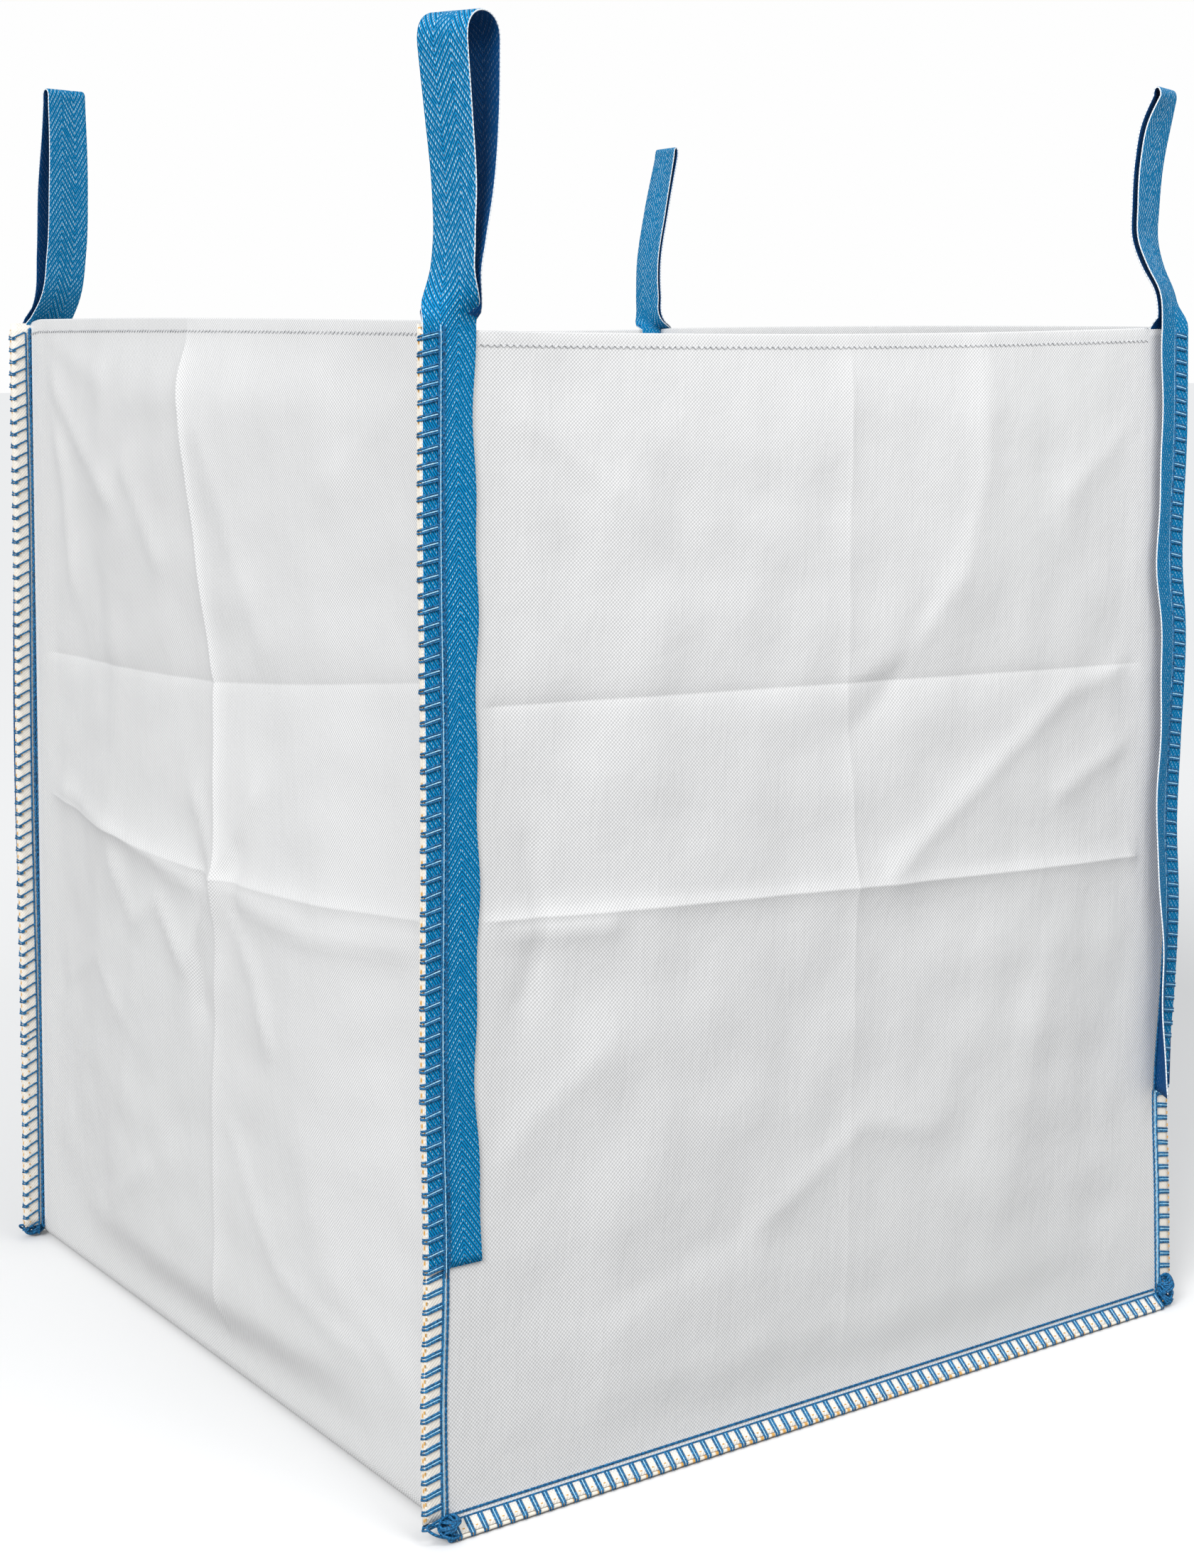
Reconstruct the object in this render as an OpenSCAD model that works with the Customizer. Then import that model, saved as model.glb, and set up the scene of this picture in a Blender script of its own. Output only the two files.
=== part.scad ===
// Open-top bulk bag of woven polypropylene: one U-shaped panel makes the left wall, the base and
// the right wall, two inserted panels close the front and the back, and a webbing loop is sewn
// into each corner seam. Origin at the middle of the base, +Z up, front panel towards -Y.

/* [Bag body] */
// Width of the bag between its side walls
bag_w = 850; // [600:10:1100]
// Depth of the bag from the front panel to the back panel
bag_d = 850; // [600:10:1100]
// Height of the bag from the floor to its rim
bag_h = 1000; // [800:10:1500]
// Thickness of one ply of the woven fabric
fabric_t = 1.5; // [0.8:0.1:2]
// Depth of the hem folded in along the rim
hem_h = 14; // [8:1:30]

/* [Seams] */
// How far the sewn fin stands out at each upright corner seam
fin_w = 22; // [20:1:30]
// Height of the needle line where each base fin leaves its panel
base_seam_h = 13.5; // [12:0.5:20]
// How far each base fin stands out from its panel
base_fin_out = 14; // [12:0.5:20]
// Height of the outer edge of each base fin above the floor
base_fin_tip_h = 2.4; // [2.4:0.1:4]
// Thickness of the sewing thread as it lies on the cloth
thread_t = 0.8; // [0.5:0.1:1]
// How far the overlock stitches reach in from the edge of a fin
overlock_w = 16; // [12:1:18]
// Width of the row of chain stitches beside each overlocked edge
chain_w = 2; // [1:0.5:3]
// Width of the filler cord laid inside the edge of each fin
filler_w = 3; // [2:0.5:4]
// Height of the thread tack that locks each bottom corner
tack_h = 20; // [14:1:30]
// Radius of the thread tack
tack_r = 17; // [14:1:20]
// Width of the row of hem stitches below the rim
hem_stitch_w = 3; // [2:0.5:5]

/* [Lifting loops] */
// Width of the webbing
webbing_w = 50; // [40:5:70]
// Thickness of the webbing
webbing_t = 2; // [1.5:0.1:3]
// Length of webbing sewn to the corner below the rim
leg_len = 772; // [500:1:780]
// Height of the free loop above the rim
loop_h = 252; // [180:1:400]
// Widest opening of the free loop
loop_open = 46; // [36:1:60]

/* [Hidden] */
$fn = 48;
// Each corner: its name, and the side of the bag it is on along X and along Y
CORNERS = [["front_left", -1, -1], ["front_right", 1, -1], ["back_right", 1, 1], ["back_left", -1, 1]];
CORNER_PARTS = ["loop", "loop_outer_leg", "loop_inner_leg", "overlock_thread", "chain_thread",
    "filler_cord", "corner_tack"];
BASE_PARTS = ["base_overlock_thread", "base_chain_thread", "base_filler_cord"];

// Planes of the front-left corner, which the other three corners mirror
wall_x = -bag_w / 2;                       // outer face of the side wall
fin_x = wall_x - fin_w;                    // outer edge of the fin
panel_y = -bag_d / 2;                      // outer face of the inserted panel
gap_y = panel_y + fabric_t;                // outer face of the inner webbing leg
flange_y = gap_y + webbing_t;              // outer face of the side wall's seam allowance
flange_in_y = flange_y + fabric_t;         // inner face of that allowance
strap_y = panel_y - webbing_t;             // outer face of the outer webbing leg
strap_x = fin_x + filler_w;                // outer edge of the webbing
strap_end_z = bag_h - leg_len;             // cut end of the webbing
chain_x = fin_x + overlock_w + 4;          // outer edge of the chain stitches

// Base seam: both plies turn out along a line from the needle line down to the tip of the fin
root = [gap_y, base_seam_h];
tip = [gap_y - base_fin_out, base_fin_tip_h];
fin_len = norm(tip - root);
fin_dir = (tip - root) / fin_len;
fin_up = [fin_dir[1], -fin_dir[0]];
under_wrap = overlock_w / 2;               // reach of the stitches on the underside of the fin
ply_len = fin_len - filler_w;              // the plies stop here and the filler cord caps them

// Free loop: two legs that part above the rim and meet in a round top
hinge_up = 8;                              // height of the bending line above the rim
loop_foot = 0.5;                           // where the free webbing starts above the bending line
loop_mid_y = panel_y + fabric_t / 2;       // middle plane of the loop
leg_half = (fabric_t + webbing_t) / 2;     // half the distance between the legs' centre lines
bow = loop_open / 2 - webbing_t / 2;       // half the widest distance between them
loop_top_r = bow + webbing_t / 2;
loop_z0 = bag_h + hinge_up + loop_foot;
loop_z1 = bag_h + loop_h - loop_top_r;     // centre of the round top
LEG_STEPS = 14;
TOP_STEPS = 16;

/* Point at s along the base fin from the needle line, lifted by u off the plane between plies */
function fin_point(s, u) = root + s * fin_dir + u * fin_up;

/* Where the line on the fin lifted by u meets the upright plane y */
function fin_at_y(y, u) = fin_point((y - root[0] - u * fin_up[0]) / fin_dir[0], u);

/* Half the width of the loop's centre line at t, from 0 at its foot to 1 at the round top */
function spread(t) = leg_half + (bow - leg_half) * (1 - pow(1 - t, 1.8));

/* One edge of the webbing: side -1 or 1 of the middle plane, grow moves it off the centre line */
function leg_edge(side, grow) = [for (i = [0:LEG_STEPS])
    let (t = i / LEG_STEPS) [side * (spread(t) + grow), loop_z0 + t * (loop_z1 - loop_z0)]];

/* The round top from the +Y leg over to the -Y leg, end points left out */
function top_edge(grow) = [for (i = [1:TOP_STEPS - 1])
    let (a = 180 * i / TOP_STEPS) [(bow + grow) * cos(a), loop_z1 + (bow + grow) * sin(a)]];

function reversed(points) = [for (i = [len(points) - 1:-1:0]) points[i]];

/* Moves a piece of the front-left corner to the corner on sides sx and sy */
module at_corner(sx, sy) {
    mirror([sx > 0 ? 1 : 0, 0, 0]) mirror([0, sy > 0 ? 1 : 0, 0]) children();
}

/* Block between two opposite corners */
module block(low, high) {
    translate(low) cube(high - low);
}

/* Outline in Y and Z carried along X from x0 to x1 */
module along_x(x0, x1, points) {
    translate([x0, 0, 0]) rotate([90, 0, 90]) linear_extrude(x1 - x0) polygon(points);
}

// ---- panels ----

/* Side wall with its seam allowances and hem, and the base's turned-up edges, for one side */
module u_panel_side() {
    block([wall_x, flange_y, 0], [wall_x + fabric_t, -flange_y, bag_h]);
    block([wall_x, flange_in_y, bag_h - hem_h], [wall_x + 2 * fabric_t, -flange_in_y, bag_h]);
    for (sy = [-1, 1]) at_corner(-1, sy)
        block([fin_x, flange_y, tack_h], [wall_x + fabric_t, flange_in_y, bag_h]);
}

module u_panel_base_edge() {
    along_x(wall_x, -wall_x, [[gap_y, 0], fin_at_y(gap_y, -fabric_t), fin_point(ply_len, -fabric_t),
        fin_point(ply_len, 0), root, [gap_y + fabric_t, root[1]], [gap_y + fabric_t, 0]]);
}

module u_panel() {
    color("whitesmoke") {
        block([wall_x, gap_y, 0], [-wall_x, -gap_y, fabric_t]);
        for (sx = [-1, 1]) at_corner(sx, -1) u_panel_side();
        for (sy = [-1, 1]) at_corner(-1, sy) u_panel_base_edge();
    }
}

/* Inserted panel: its wall, its base fin, its hem, and the plies in the two corner fins */
module end_panel(sy) {
    color("whitesmoke") at_corner(-1, sy) {
        along_x(wall_x, -wall_x, [[panel_y, bag_h], fin_at_y(panel_y, fabric_t),
            fin_point(ply_len, fabric_t), fin_point(ply_len, 0), root, [gap_y, bag_h]]);
        block([strap_x + webbing_w, gap_y, bag_h - hem_h],
            [-strap_x - webbing_w, gap_y + fabric_t, bag_h]);
        for (sx = [-1, 1]) at_corner(sx, -1)
            block([fin_x, panel_y, tack_h], [wall_x, gap_y, bag_h]);
    }
}

module front_panel() end_panel(-1);
module back_panel() end_panel(1);

// ---- lifting loops ----

/* The part of the webbing that stands free above the rim */
module loop() {
    color("royalblue") translate([0, loop_mid_y, 0]) along_x(strap_x, strap_x + webbing_w, concat(
        leg_edge(1, webbing_t / 2), top_edge(webbing_t / 2), reversed(leg_edge(-1, webbing_t / 2)),
        leg_edge(-1, -webbing_t / 2), reversed(top_edge(-webbing_t / 2)),
        reversed(leg_edge(1, -webbing_t / 2))));
}

/* The leg sewn to the outside of the inserted panel */
module loop_outer_leg() {
    color("royalblue")
        block([strap_x, strap_y, strap_end_z], [strap_x + webbing_w, panel_y, bag_h]);
}

/* The leg sewn between the inserted panel and the side wall's allowance */
module loop_inner_leg() {
    color("royalblue")
        block([strap_x, gap_y, strap_end_z], [strap_x + webbing_w, flange_y, bag_h]);
}

// ---- corner seams ----

/* Thread band wrapped round the edge of the fin, from z0 to z1, over an outer face at face_y */
module thread_wrap(face_y, z0, z1) {
    translate([0, 0, z0]) linear_extrude(z1 - z0) polygon([
        [fin_x + overlock_w, face_y - thread_t], [fin_x - thread_t, face_y - thread_t],
        [fin_x - thread_t, flange_in_y + thread_t], [fin_x + overlock_w, flange_in_y + thread_t],
        [fin_x + overlock_w, flange_in_y], [fin_x, flange_in_y], [fin_x, face_y],
        [fin_x + overlock_w, face_y]]);
}

module overlock_thread() {
    color("steelblue") {
        thread_wrap(panel_y, tack_h, strap_end_z);
        thread_wrap(strap_y, strap_end_z, bag_h);
    }
}

/* Rows of chain stitches down the outer and the inner face of the fin */
module chain_thread() {
    color("steelblue") {
        block([chain_x, strap_y - thread_t, strap_end_z], [chain_x + chain_w, strap_y, bag_h]);
        block([chain_x, panel_y - thread_t, tack_h], [chain_x + chain_w, panel_y, strap_end_z]);
        block([wall_x - chain_w, flange_in_y, tack_h], [wall_x, flange_in_y + thread_t, bag_h]);
    }
}

module filler_cord() {
    color("moccasin") block([fin_x, gap_y, tack_h], [strap_x, flange_y, bag_h]);
}

/* Knotted thread over the foot of the corner fin */
module corner_tack() {
    color("steelblue") intersection() {
        translate([wall_x - tack_r / 4, panel_y, 0]) cylinder(r = tack_r, h = tack_h);
        block([wall_x - 2 * tack_r, panel_y - tack_r, 0], [wall_x, panel_y + tack_r, tack_h]);
    }
}

/* One part of one corner, by the name it has in CORNER_PARTS */
module corner_part(part) {
    if (part == "loop") loop();
    if (part == "loop_outer_leg") loop_outer_leg();
    if (part == "loop_inner_leg") loop_inner_leg();
    if (part == "overlock_thread") overlock_thread();
    if (part == "chain_thread") chain_thread();
    if (part == "filler_cord") filler_cord();
    if (part == "corner_tack") corner_tack();
}

// ---- base seams ----

/* Thread band wrapped round the edge of the base fin */
module base_overlock_thread() {
    color("steelblue") along_x(wall_x, -wall_x, [
        fin_point(fin_len - overlock_w, fabric_t + thread_t),
        fin_point(fin_len + thread_t, fabric_t + thread_t),
        fin_point(fin_len + thread_t, -fabric_t - thread_t),
        fin_point(fin_len - under_wrap, -fabric_t - thread_t),
        fin_point(fin_len - under_wrap, -fabric_t), fin_point(fin_len, -fabric_t),
        fin_point(fin_len, fabric_t), fin_point(fin_len - overlock_w, fabric_t)]);
}

module base_chain_thread() {
    z = base_seam_h + 4;
    color("steelblue")
        block([wall_x, panel_y - thread_t, z], [-wall_x, panel_y, z + chain_w]);
}

/* Filler cord along the cut edge of the base fin, under the overlock stitches */
module base_filler_cord() {
    color("moccasin") along_x(wall_x, -wall_x, [fin_point(ply_len, fabric_t),
        fin_point(fin_len, fabric_t), fin_point(fin_len, -fabric_t), fin_point(ply_len, -fabric_t)]);
}

module base_part(part) {
    if (part == "base_overlock_thread") base_overlock_thread();
    if (part == "base_chain_thread") base_chain_thread();
    if (part == "base_filler_cord") base_filler_cord();
}

// ---- hem ----

/* Zigzag stitches that hold the hem of an inserted panel, clear of the webbing */
module end_hem_thread() {
    end = strap_x + webbing_w;
    color("gainsboro") block([end, panel_y - thread_t, bag_h - hem_h],
        [-end, panel_y, bag_h - hem_h + hem_stitch_w]);
}

/* The same on a side wall, clear of the corner fins */
module side_hem_thread() {
    end = flange_in_y + thread_t;
    color("gainsboro") block([wall_x - thread_t, end, bag_h - hem_h],
        [wall_x, -end, bag_h - hem_h + hem_stitch_w]);
}

// ---- nodes ----

u_panel();
front_panel();
back_panel();
for (corner = CORNERS) for (part = CORNER_PARTS)
    at_corner(corner[1], corner[2]) corner_part(part);
for (part = BASE_PARTS) {
    base_part(part);
    at_corner(-1, 1) base_part(part);
}
end_hem_thread();  // front_hem_thread
at_corner(-1, 1) end_hem_thread();  // back_hem_thread
side_hem_thread();  // left_hem_thread
at_corner(1, -1) side_hem_thread();  // right_hem_thread
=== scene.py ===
import math
import bmesh
import bpy
import numpy as np
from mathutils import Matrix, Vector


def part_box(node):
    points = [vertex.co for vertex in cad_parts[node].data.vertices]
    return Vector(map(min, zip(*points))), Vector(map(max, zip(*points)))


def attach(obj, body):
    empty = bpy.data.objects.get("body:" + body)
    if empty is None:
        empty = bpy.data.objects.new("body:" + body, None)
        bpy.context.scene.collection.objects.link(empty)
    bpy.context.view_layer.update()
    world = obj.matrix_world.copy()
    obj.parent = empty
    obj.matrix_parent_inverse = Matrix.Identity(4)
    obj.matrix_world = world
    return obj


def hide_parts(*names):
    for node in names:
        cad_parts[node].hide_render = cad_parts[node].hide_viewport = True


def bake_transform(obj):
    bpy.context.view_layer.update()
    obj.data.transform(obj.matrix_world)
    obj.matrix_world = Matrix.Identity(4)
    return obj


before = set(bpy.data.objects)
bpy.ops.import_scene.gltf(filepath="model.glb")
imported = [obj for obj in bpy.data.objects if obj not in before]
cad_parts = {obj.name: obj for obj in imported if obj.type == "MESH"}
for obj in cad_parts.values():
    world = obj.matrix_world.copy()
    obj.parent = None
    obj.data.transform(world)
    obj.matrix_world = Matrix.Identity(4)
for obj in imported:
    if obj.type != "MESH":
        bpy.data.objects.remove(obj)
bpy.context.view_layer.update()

# ---- Camera, floor and light ----
# The bag stands on a pale studio floor, seen from just below its rim with the front-left corner
# nearest. A broad key light comes from the upper left, and two weaker lamps light the front wall
# and the left wall.
CAMERA_AT = (-1.4757, -2.124, 0.991)
CAMERA_YAW = math.radians(35.255)
CAMERA_PITCH = math.radians(3.794)
lens = bpy.data.cameras.new("camera")
lens.lens = 57.013
lens.sensor_width = 36
lens.shift_y = -0.18
lens.clip_end = 200
camera = bpy.data.objects.new("camera", lens)
camera.location = CAMERA_AT
camera.rotation_euler = (math.pi / 2 - CAMERA_PITCH, 0, -CAMERA_YAW)
bpy.context.scene.collection.objects.link(camera)
bpy.context.scene.camera = camera
bpy.context.scene.view_settings.view_transform = "Standard"


def tint(code):
    """Linear colour of an sRGB hex code."""
    channels = [int(code[i:i + 2], 16) / 255 for i in (1, 3, 5)]
    return [c / 12.92 if c <= 0.04045 else ((c + 0.055) / 1.055) ** 2.4 for c in channels] + [1]


def add(tree, kind, inputs=(), **settings):
    """Adds a node, and sets or links each input; another node stands for its first output."""
    node = tree.nodes.new(kind)
    for key, value in settings.items():
        setattr(node, key, value)
    for key, value in dict(inputs).items():
        if isinstance(value, bpy.types.Node):
            value = value.outputs[0]
        if isinstance(value, bpy.types.NodeSocket):
            tree.links.new(value, node.inputs[key])
        else:
            node.inputs[key].default_value = value
    return node


def new_material(name):
    """An empty material and the tree to build it in."""
    material = bpy.data.materials.new(name)
    material.use_nodes = True
    material.node_tree.nodes.clear()
    return material, material.node_tree


def make_piece(name, points, faces, uvs=None, marks=None):
    """A smooth mesh object, with its pattern's coordinates in metres."""
    mesh = bpy.data.meshes.new(name)
    mesh.from_pydata(np.asarray(points).tolist(), [],
        faces if isinstance(faces, list) else faces.tolist())
    mesh.shade_smooth()
    if uvs is not None:
        corners = np.zeros(len(mesh.loops), int)
        mesh.loops.foreach_get("vertex_index", corners)
        mesh.uv_layers.new(name="pattern").data.foreach_set("uv", np.asarray(uvs)[corners].ravel())
    for key, values in (marks or {}).items():
        mesh.attributes.new(key, "FLOAT", "POINT").data.foreach_set("value", values)
    piece = bpy.data.objects.new(name, mesh)
    bpy.context.scene.collection.objects.link(piece)
    return piece


# Matt white painted board: even and without a pattern, so only the soft shadow shows on it. Its
# bounce is kept down, so that the walls stay darker towards the floor
FLOOR_HALF = 40
board, tree = new_material("painted_studio_board")
bright = add(tree, "ShaderNodeBsdfDiffuse", {"Color": tint("#F6F6F6")})
bounce = add(tree, "ShaderNodeBsdfDiffuse", {"Color": tint("#A6A6A6")})
ray = add(tree, "ShaderNodeLightPath")
paint = add(tree, "ShaderNodeMixShader", {0: ray.outputs["Is Camera Ray"], 1: bounce, 2: bright})
add(tree, "ShaderNodeOutputMaterial", {"Surface": paint})
floor = make_piece("studio_floor", [(x, y, 0) for x, y in (
    (-FLOOR_HALF, -FLOOR_HALF), (FLOOR_HALF, -FLOOR_HALF), (FLOOR_HALF, FLOOR_HALF),
    (-FLOOR_HALF, FLOOR_HALF))], [[0, 1, 2, 3]])
floor.data.materials.append(board)

# The room lights the bag softly from all round, and its backdrop is plain white
world = bpy.data.worlds.new("studio")
world.use_nodes = True
tree = world.node_tree
tree.nodes.clear()
room = add(tree, "ShaderNodeBackground", {"Color": tint("#FBFDFF"), "Strength": 0.60})
backdrop = add(tree, "ShaderNodeBackground", {"Color": tint("#FEFEFE"), "Strength": 1.0})
ray = add(tree, "ShaderNodeLightPath")
seen = add(tree, "ShaderNodeMixShader", {0: ray.outputs["Is Camera Ray"], 1: room, 2: backdrop})
add(tree, "ShaderNodeOutputWorld", {0: seen})
bpy.context.scene.world = world


def hang_lamp(name, kind, place, power, aim_at=(0, 0, 0.6)):
    """A lamp at a place, turned towards the bag."""
    lamp = bpy.data.lights.new(name, kind)
    lamp.energy = power
    stand = bpy.data.objects.new(name, lamp)
    stand.location = place
    aim = Vector(aim_at) - Vector(place)
    stand.rotation_euler = aim.to_track_quat("-Z", "Y").to_euler()
    bpy.context.scene.collection.objects.link(stand)
    return lamp


hang_lamp("key_light", "SUN", (-4.0, -2.1, 3.2), 2.10).angle = math.radians(24)
hang_lamp("top_light", "AREA", (0.1, -1.9, 2.4), 25, (0, 0, 1.0)).size = 1.3
hang_lamp("side_light", "AREA", (-3.0, -0.5, 2.2), 8, (-0.45, 0, 1.0)).size = 1.2

# ---- Woven panels ----
# White polypropylene tape cloth, plain-woven and coated. One U-shaped length makes the left
# wall, the base and the right wall, and two inserted panels close the front and the back. The
# rim is folded in as a hem, and the cloth keeps the creases of its folded storage.
leg_low, leg_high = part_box("front_left_loop_outer_leg")
inner_low, inner_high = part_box("front_left_loop_inner_leg")
WALL = -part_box("left_hem_thread")[1].x  # outer face of a side wall
PANEL = -leg_high.y  # outer face of an inserted panel
GAP = -inner_low.y  # inner face of that panel
FLANGE = -inner_high.y  # outer face of the side wall's allowance
FIN = -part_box("front_panel")[0].x  # outer edge of a corner fin
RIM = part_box("front_panel")[1].z
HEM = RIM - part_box("front_hem_thread")[0].z  # depth of the hem
TACK_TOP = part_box("front_left_corner_tack")[1].z
PLY = PANEL - GAP  # thickness that one ply takes up
FLANGE_IN = FLANGE - PLY
STRAP_IN = -leg_high.x  # inner and outer edges of the webbing
STRAP_OUT = -leg_low.x
STRAP_FACE = -leg_low.y
CLOTH = 0.0011
# Base seam: needle line and tip of the fin, from the panel's inner face, as in the CAD
ROOT = np.array((GAP, 0.0135))
TIP = np.array((GAP + 0.014, 0.0024))
FIN_LENGTH = np.linalg.norm(TIP - ROOT)
FIN_ALONG = (TIP - ROOT) / FIN_LENGTH
FIN_UP = np.array((-FIN_ALONG[1], FIN_ALONG[0]))


def smooth(t):
    """0 to 1 with soft ends."""
    t = np.clip(t, 0, 1)
    return t * t * (3 - 2 * t)


# Two storage creases cross each wall and one runs up its middle. For each wall: the level of
# each cross crease in the flat cloth, and its height at the left, middle and right end
CROSS_CREASES = {
    "front": ((0.49, 0.513, 0.492, 0.470), (0.675, 0.689, 0.679, 0.665)),
    "left": ((0.49, 0.512, 0.500, 0.502), (0.675, 0.712, 0.675, 0.652)),
    "back": ((0.49, 0.488, 0.497, 0.505), (0.675, 0.672, 0.684, 0.690)),
    "right": ((0.49, 0.507, 0.498, 0.492), (0.675, 0.702, 0.678, 0.660))}
# How far the middle crease wanders sideways at the foot, at each cross crease and at the rim
WANDER = {"front": (0.0, 0.004, -0.006, 0.0), "left": (-0.035, -0.105, -0.075, 0.002),
          "back": (-0.003, 0.006, 0.002, 0.0), "right": (0.0, -0.004, -0.010, 0.0)}
# Smaller folds: the points each runs through as (across, height), how far it stands out or
# in, how wide its slopes are and how round its ridge is, all in metres
CREASES = {
    "front": [
        (((-0.42, 0.499), (-0.27, 0.492)), 0.0045, 0.012, 0.002),
        (((0.05, 0.50), (0.17, 0.58), (0.28, 0.648), (0.42, 0.675)), 0.0042, 0.015, 0.003),
        (((-0.345, 0.57), (-0.332, 0.50), (-0.35, 0.44)), -0.0036, 0.013, 0.003),
        (((0.165, 1.0), (0.165, 0.87), (0.135, 0.77), (0.07, 0.705), (0.005, 0.685)),
         0.0048, 0.024, 0.006),
        (((0.09, 0.74), (0.04, 0.665), (0.0, 0.640)), -0.0030, 0.016, 0.005),
        (((-0.40, 0.96), (-0.26, 0.86)), 0.0024, 0.016, 0.005),
        (((0.41, 0.93), (0.28, 0.84)), 0.0026, 0.018, 0.005),
        (((0.40, 0.60), (0.27, 0.55)), 0.0034, 0.012, 0.003),
        (((-0.39, 0.30), (-0.28, 0.38)), 0.0024, 0.018, 0.006),
        (((-0.22, 0.92), (-0.16, 0.74)), -0.0024, 0.024, 0.010),
        (((-0.10, 0.20), (0.02, 0.27), (0.10, 0.25)), 0.0026, 0.014, 0.004),
        (((0.26, 0.40), (0.20, 0.16)), 0.0026, 0.028, 0.012),
        (((-0.27, 0.16), (-0.12, 0.20)), -0.0022, 0.022, 0.008)],
    "left": [
        (((-0.10, 0.492), (-0.25, 0.474), (-0.42, 0.486)), 0.0055, 0.013, 0.002),
        (((0.40, 0.514), (0.27, 0.510), (0.04, 0.494), (-0.10, 0.474)), 0.0050, 0.012, 0.002),
        (((-0.10, 0.50), (-0.045, 0.565)), 0.0050, 0.012, 0.002),
        (((-0.10, 0.50), (-0.155, 0.58)), 0.0045, 0.012, 0.002),
        (((-0.10, 0.49), (-0.02, 0.40), (0.04, 0.45)), 0.0062, 0.012, 0.002),
        (((0.04, 0.45), (0.10, 0.42), (0.16, 0.47)), 0.0040, 0.012, 0.002),
        (((-0.10, 0.49), (-0.16, 0.42), (-0.18, 0.36)), 0.0042, 0.013, 0.002),
        (((-0.065, 0.50), (-0.045, 0.43), (-0.05, 0.37)), -0.0060, 0.013, 0.003),
        (((-0.13, 0.53), (-0.13, 0.46)), -0.0045, 0.014, 0.003),
        (((0.41, 0.985), (0.30, 0.90), (0.17, 0.83)), 0.0060, 0.018, 0.003),
        (((0.41, 0.96), (0.33, 0.86), (0.30, 0.73)), 0.0048, 0.018, 0.004),
        (((0.41, 0.995), (0.20, 0.95)), 0.0040, 0.015, 0.004),
        (((0.13, 0.86), (0.05, 0.78)), 0.0036, 0.016, 0.004),
        (((-0.40, 0.975), (-0.27, 0.87)), 0.0042, 0.020, 0.005),
        (((-0.05, 0.90), (-0.16, 0.72)), 0.0040, 0.024, 0.006),
        (((0.20, 0.11), (0.10, 0.17)), 0.0034, 0.014, 0.003),
        (((-0.40, 0.08), (-0.27, 0.17)), 0.0026, 0.022, 0.006),
        (((0.40, 0.10), (0.28, 0.20)), 0.0026, 0.022, 0.006),
        (((0.22, 0.74), (0.20, 0.58)), -0.0022, 0.030, 0.012),
        (((0.24, 0.42), (0.20, 0.25), (0.24, 0.12)), -0.0020, 0.034, 0.012),
        (((-0.21, 0.42), (-0.24, 0.22)), 0.0022, 0.030, 0.010),
        (((0.12, 0.30), (0.22, 0.36), (0.33, 0.31)), 0.0026, 0.010, 0.002),
        (((-0.10, 0.26), (-0.17, 0.15), (-0.30, 0.11)), 0.0026, 0.011, 0.002),
        (((0.10, 0.38), (0.16, 0.22)), 0.0024, 0.012, 0.002)],
    "back": [
        (((-0.20, 1.0), (-0.17, 0.80), (0.0, 0.69)), 0.0060, 0.028, 0.008),
        (((0.41, 0.95), (0.27, 0.84)), 0.0036, 0.018, 0.005),
        (((0.42, 0.505), (0.28, 0.49)), 0.0040, 0.012, 0.002),
        (((-0.40, 0.12), (-0.26, 0.22)), 0.0034, 0.022, 0.006),
        (((0.25, 0.36), (0.20, 0.14)), 0.0030, 0.028, 0.012)],
    "right": [
        (((0.0, 0.50), (0.06, 0.565)), 0.0048, 0.012, 0.002),
        (((0.0, 0.50), (-0.06, 0.43), (-0.10, 0.46)), 0.0052, 0.012, 0.002),
        (((0.03, 0.52), (0.035, 0.44)), -0.0045, 0.013, 0.003),
        (((0.40, 0.97), (0.26, 0.85)), 0.0044, 0.020, 0.005),
        (((-0.41, 0.98), (-0.25, 0.88)), 0.0044, 0.020, 0.005),
        (((0.24, 0.42), (0.20, 0.20)), -0.0032, 0.034, 0.012),
        (((-0.38, 0.10), (-0.26, 0.18)), 0.0034, 0.020, 0.005)]}
# Flat facets between the creases: (level, how far out at the left, middle and right end)
FACETS = {
    "front": ((0.03, 0, 0, 0), (0.49, 0.009, 0.008, 0.009), (0.675, 0.004, 0.003, 0.005),
              (1.0, 0.003, 0.002, 0.0)),
    "left": ((0.03, 0, 0, 0), (0.49, 0.018, 0.020, 0.019), (0.675, 0.000, 0.003, -0.002),
             (1.0, 0.003, 0.006, 0.0)),
    "back": ((0.03, 0, 0, 0), (0.49, 0.018, 0.018, 0.016), (0.675, -0.002, -0.002, 0.0),
             (1.0, 0.003, 0.002, 0.0)),
    "right": ((0.03, 0, 0, 0), (0.49, 0.017, 0.019, 0.017), (0.675, 0.0, 0.003, 0.0),
              (1.0, 0.0, 0.005, 0.002))}
# How far the upright middle crease stands out, at the foot and at the rim
SPINE = {"front": (0.004, 0.009), "left": (0.019, 0.029), "back": (0.007, 0.010),
         "right": (0.015, 0.020)}
# How much higher than its nominal height the rim runs at its left, middle and right end
RIM_LINE = {"front": (-0.003, -0.006, 0.001), "left": (0.004, 0.009, 0.010),
            "back": (0.0, -0.003, 0.001), "right": (0.001, 0.004, 0.002)}
# How far each cross crease itself stands out beyond its facets, the lower one first
CREASE_STAND = {"front": (0.0036, -0.0022), "left": (0.0030, -0.0024),
                "back": (0.0032, -0.0022), "right": (0.0030, -0.0022)}
# How far the cloth between the creases swells out
PUFF = {"front": 0.004, "left": 0.006, "back": 0.005, "right": 0.006}
SEWN_FLAT = 0.036  # the cloth lies flat this near to a corner
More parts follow.
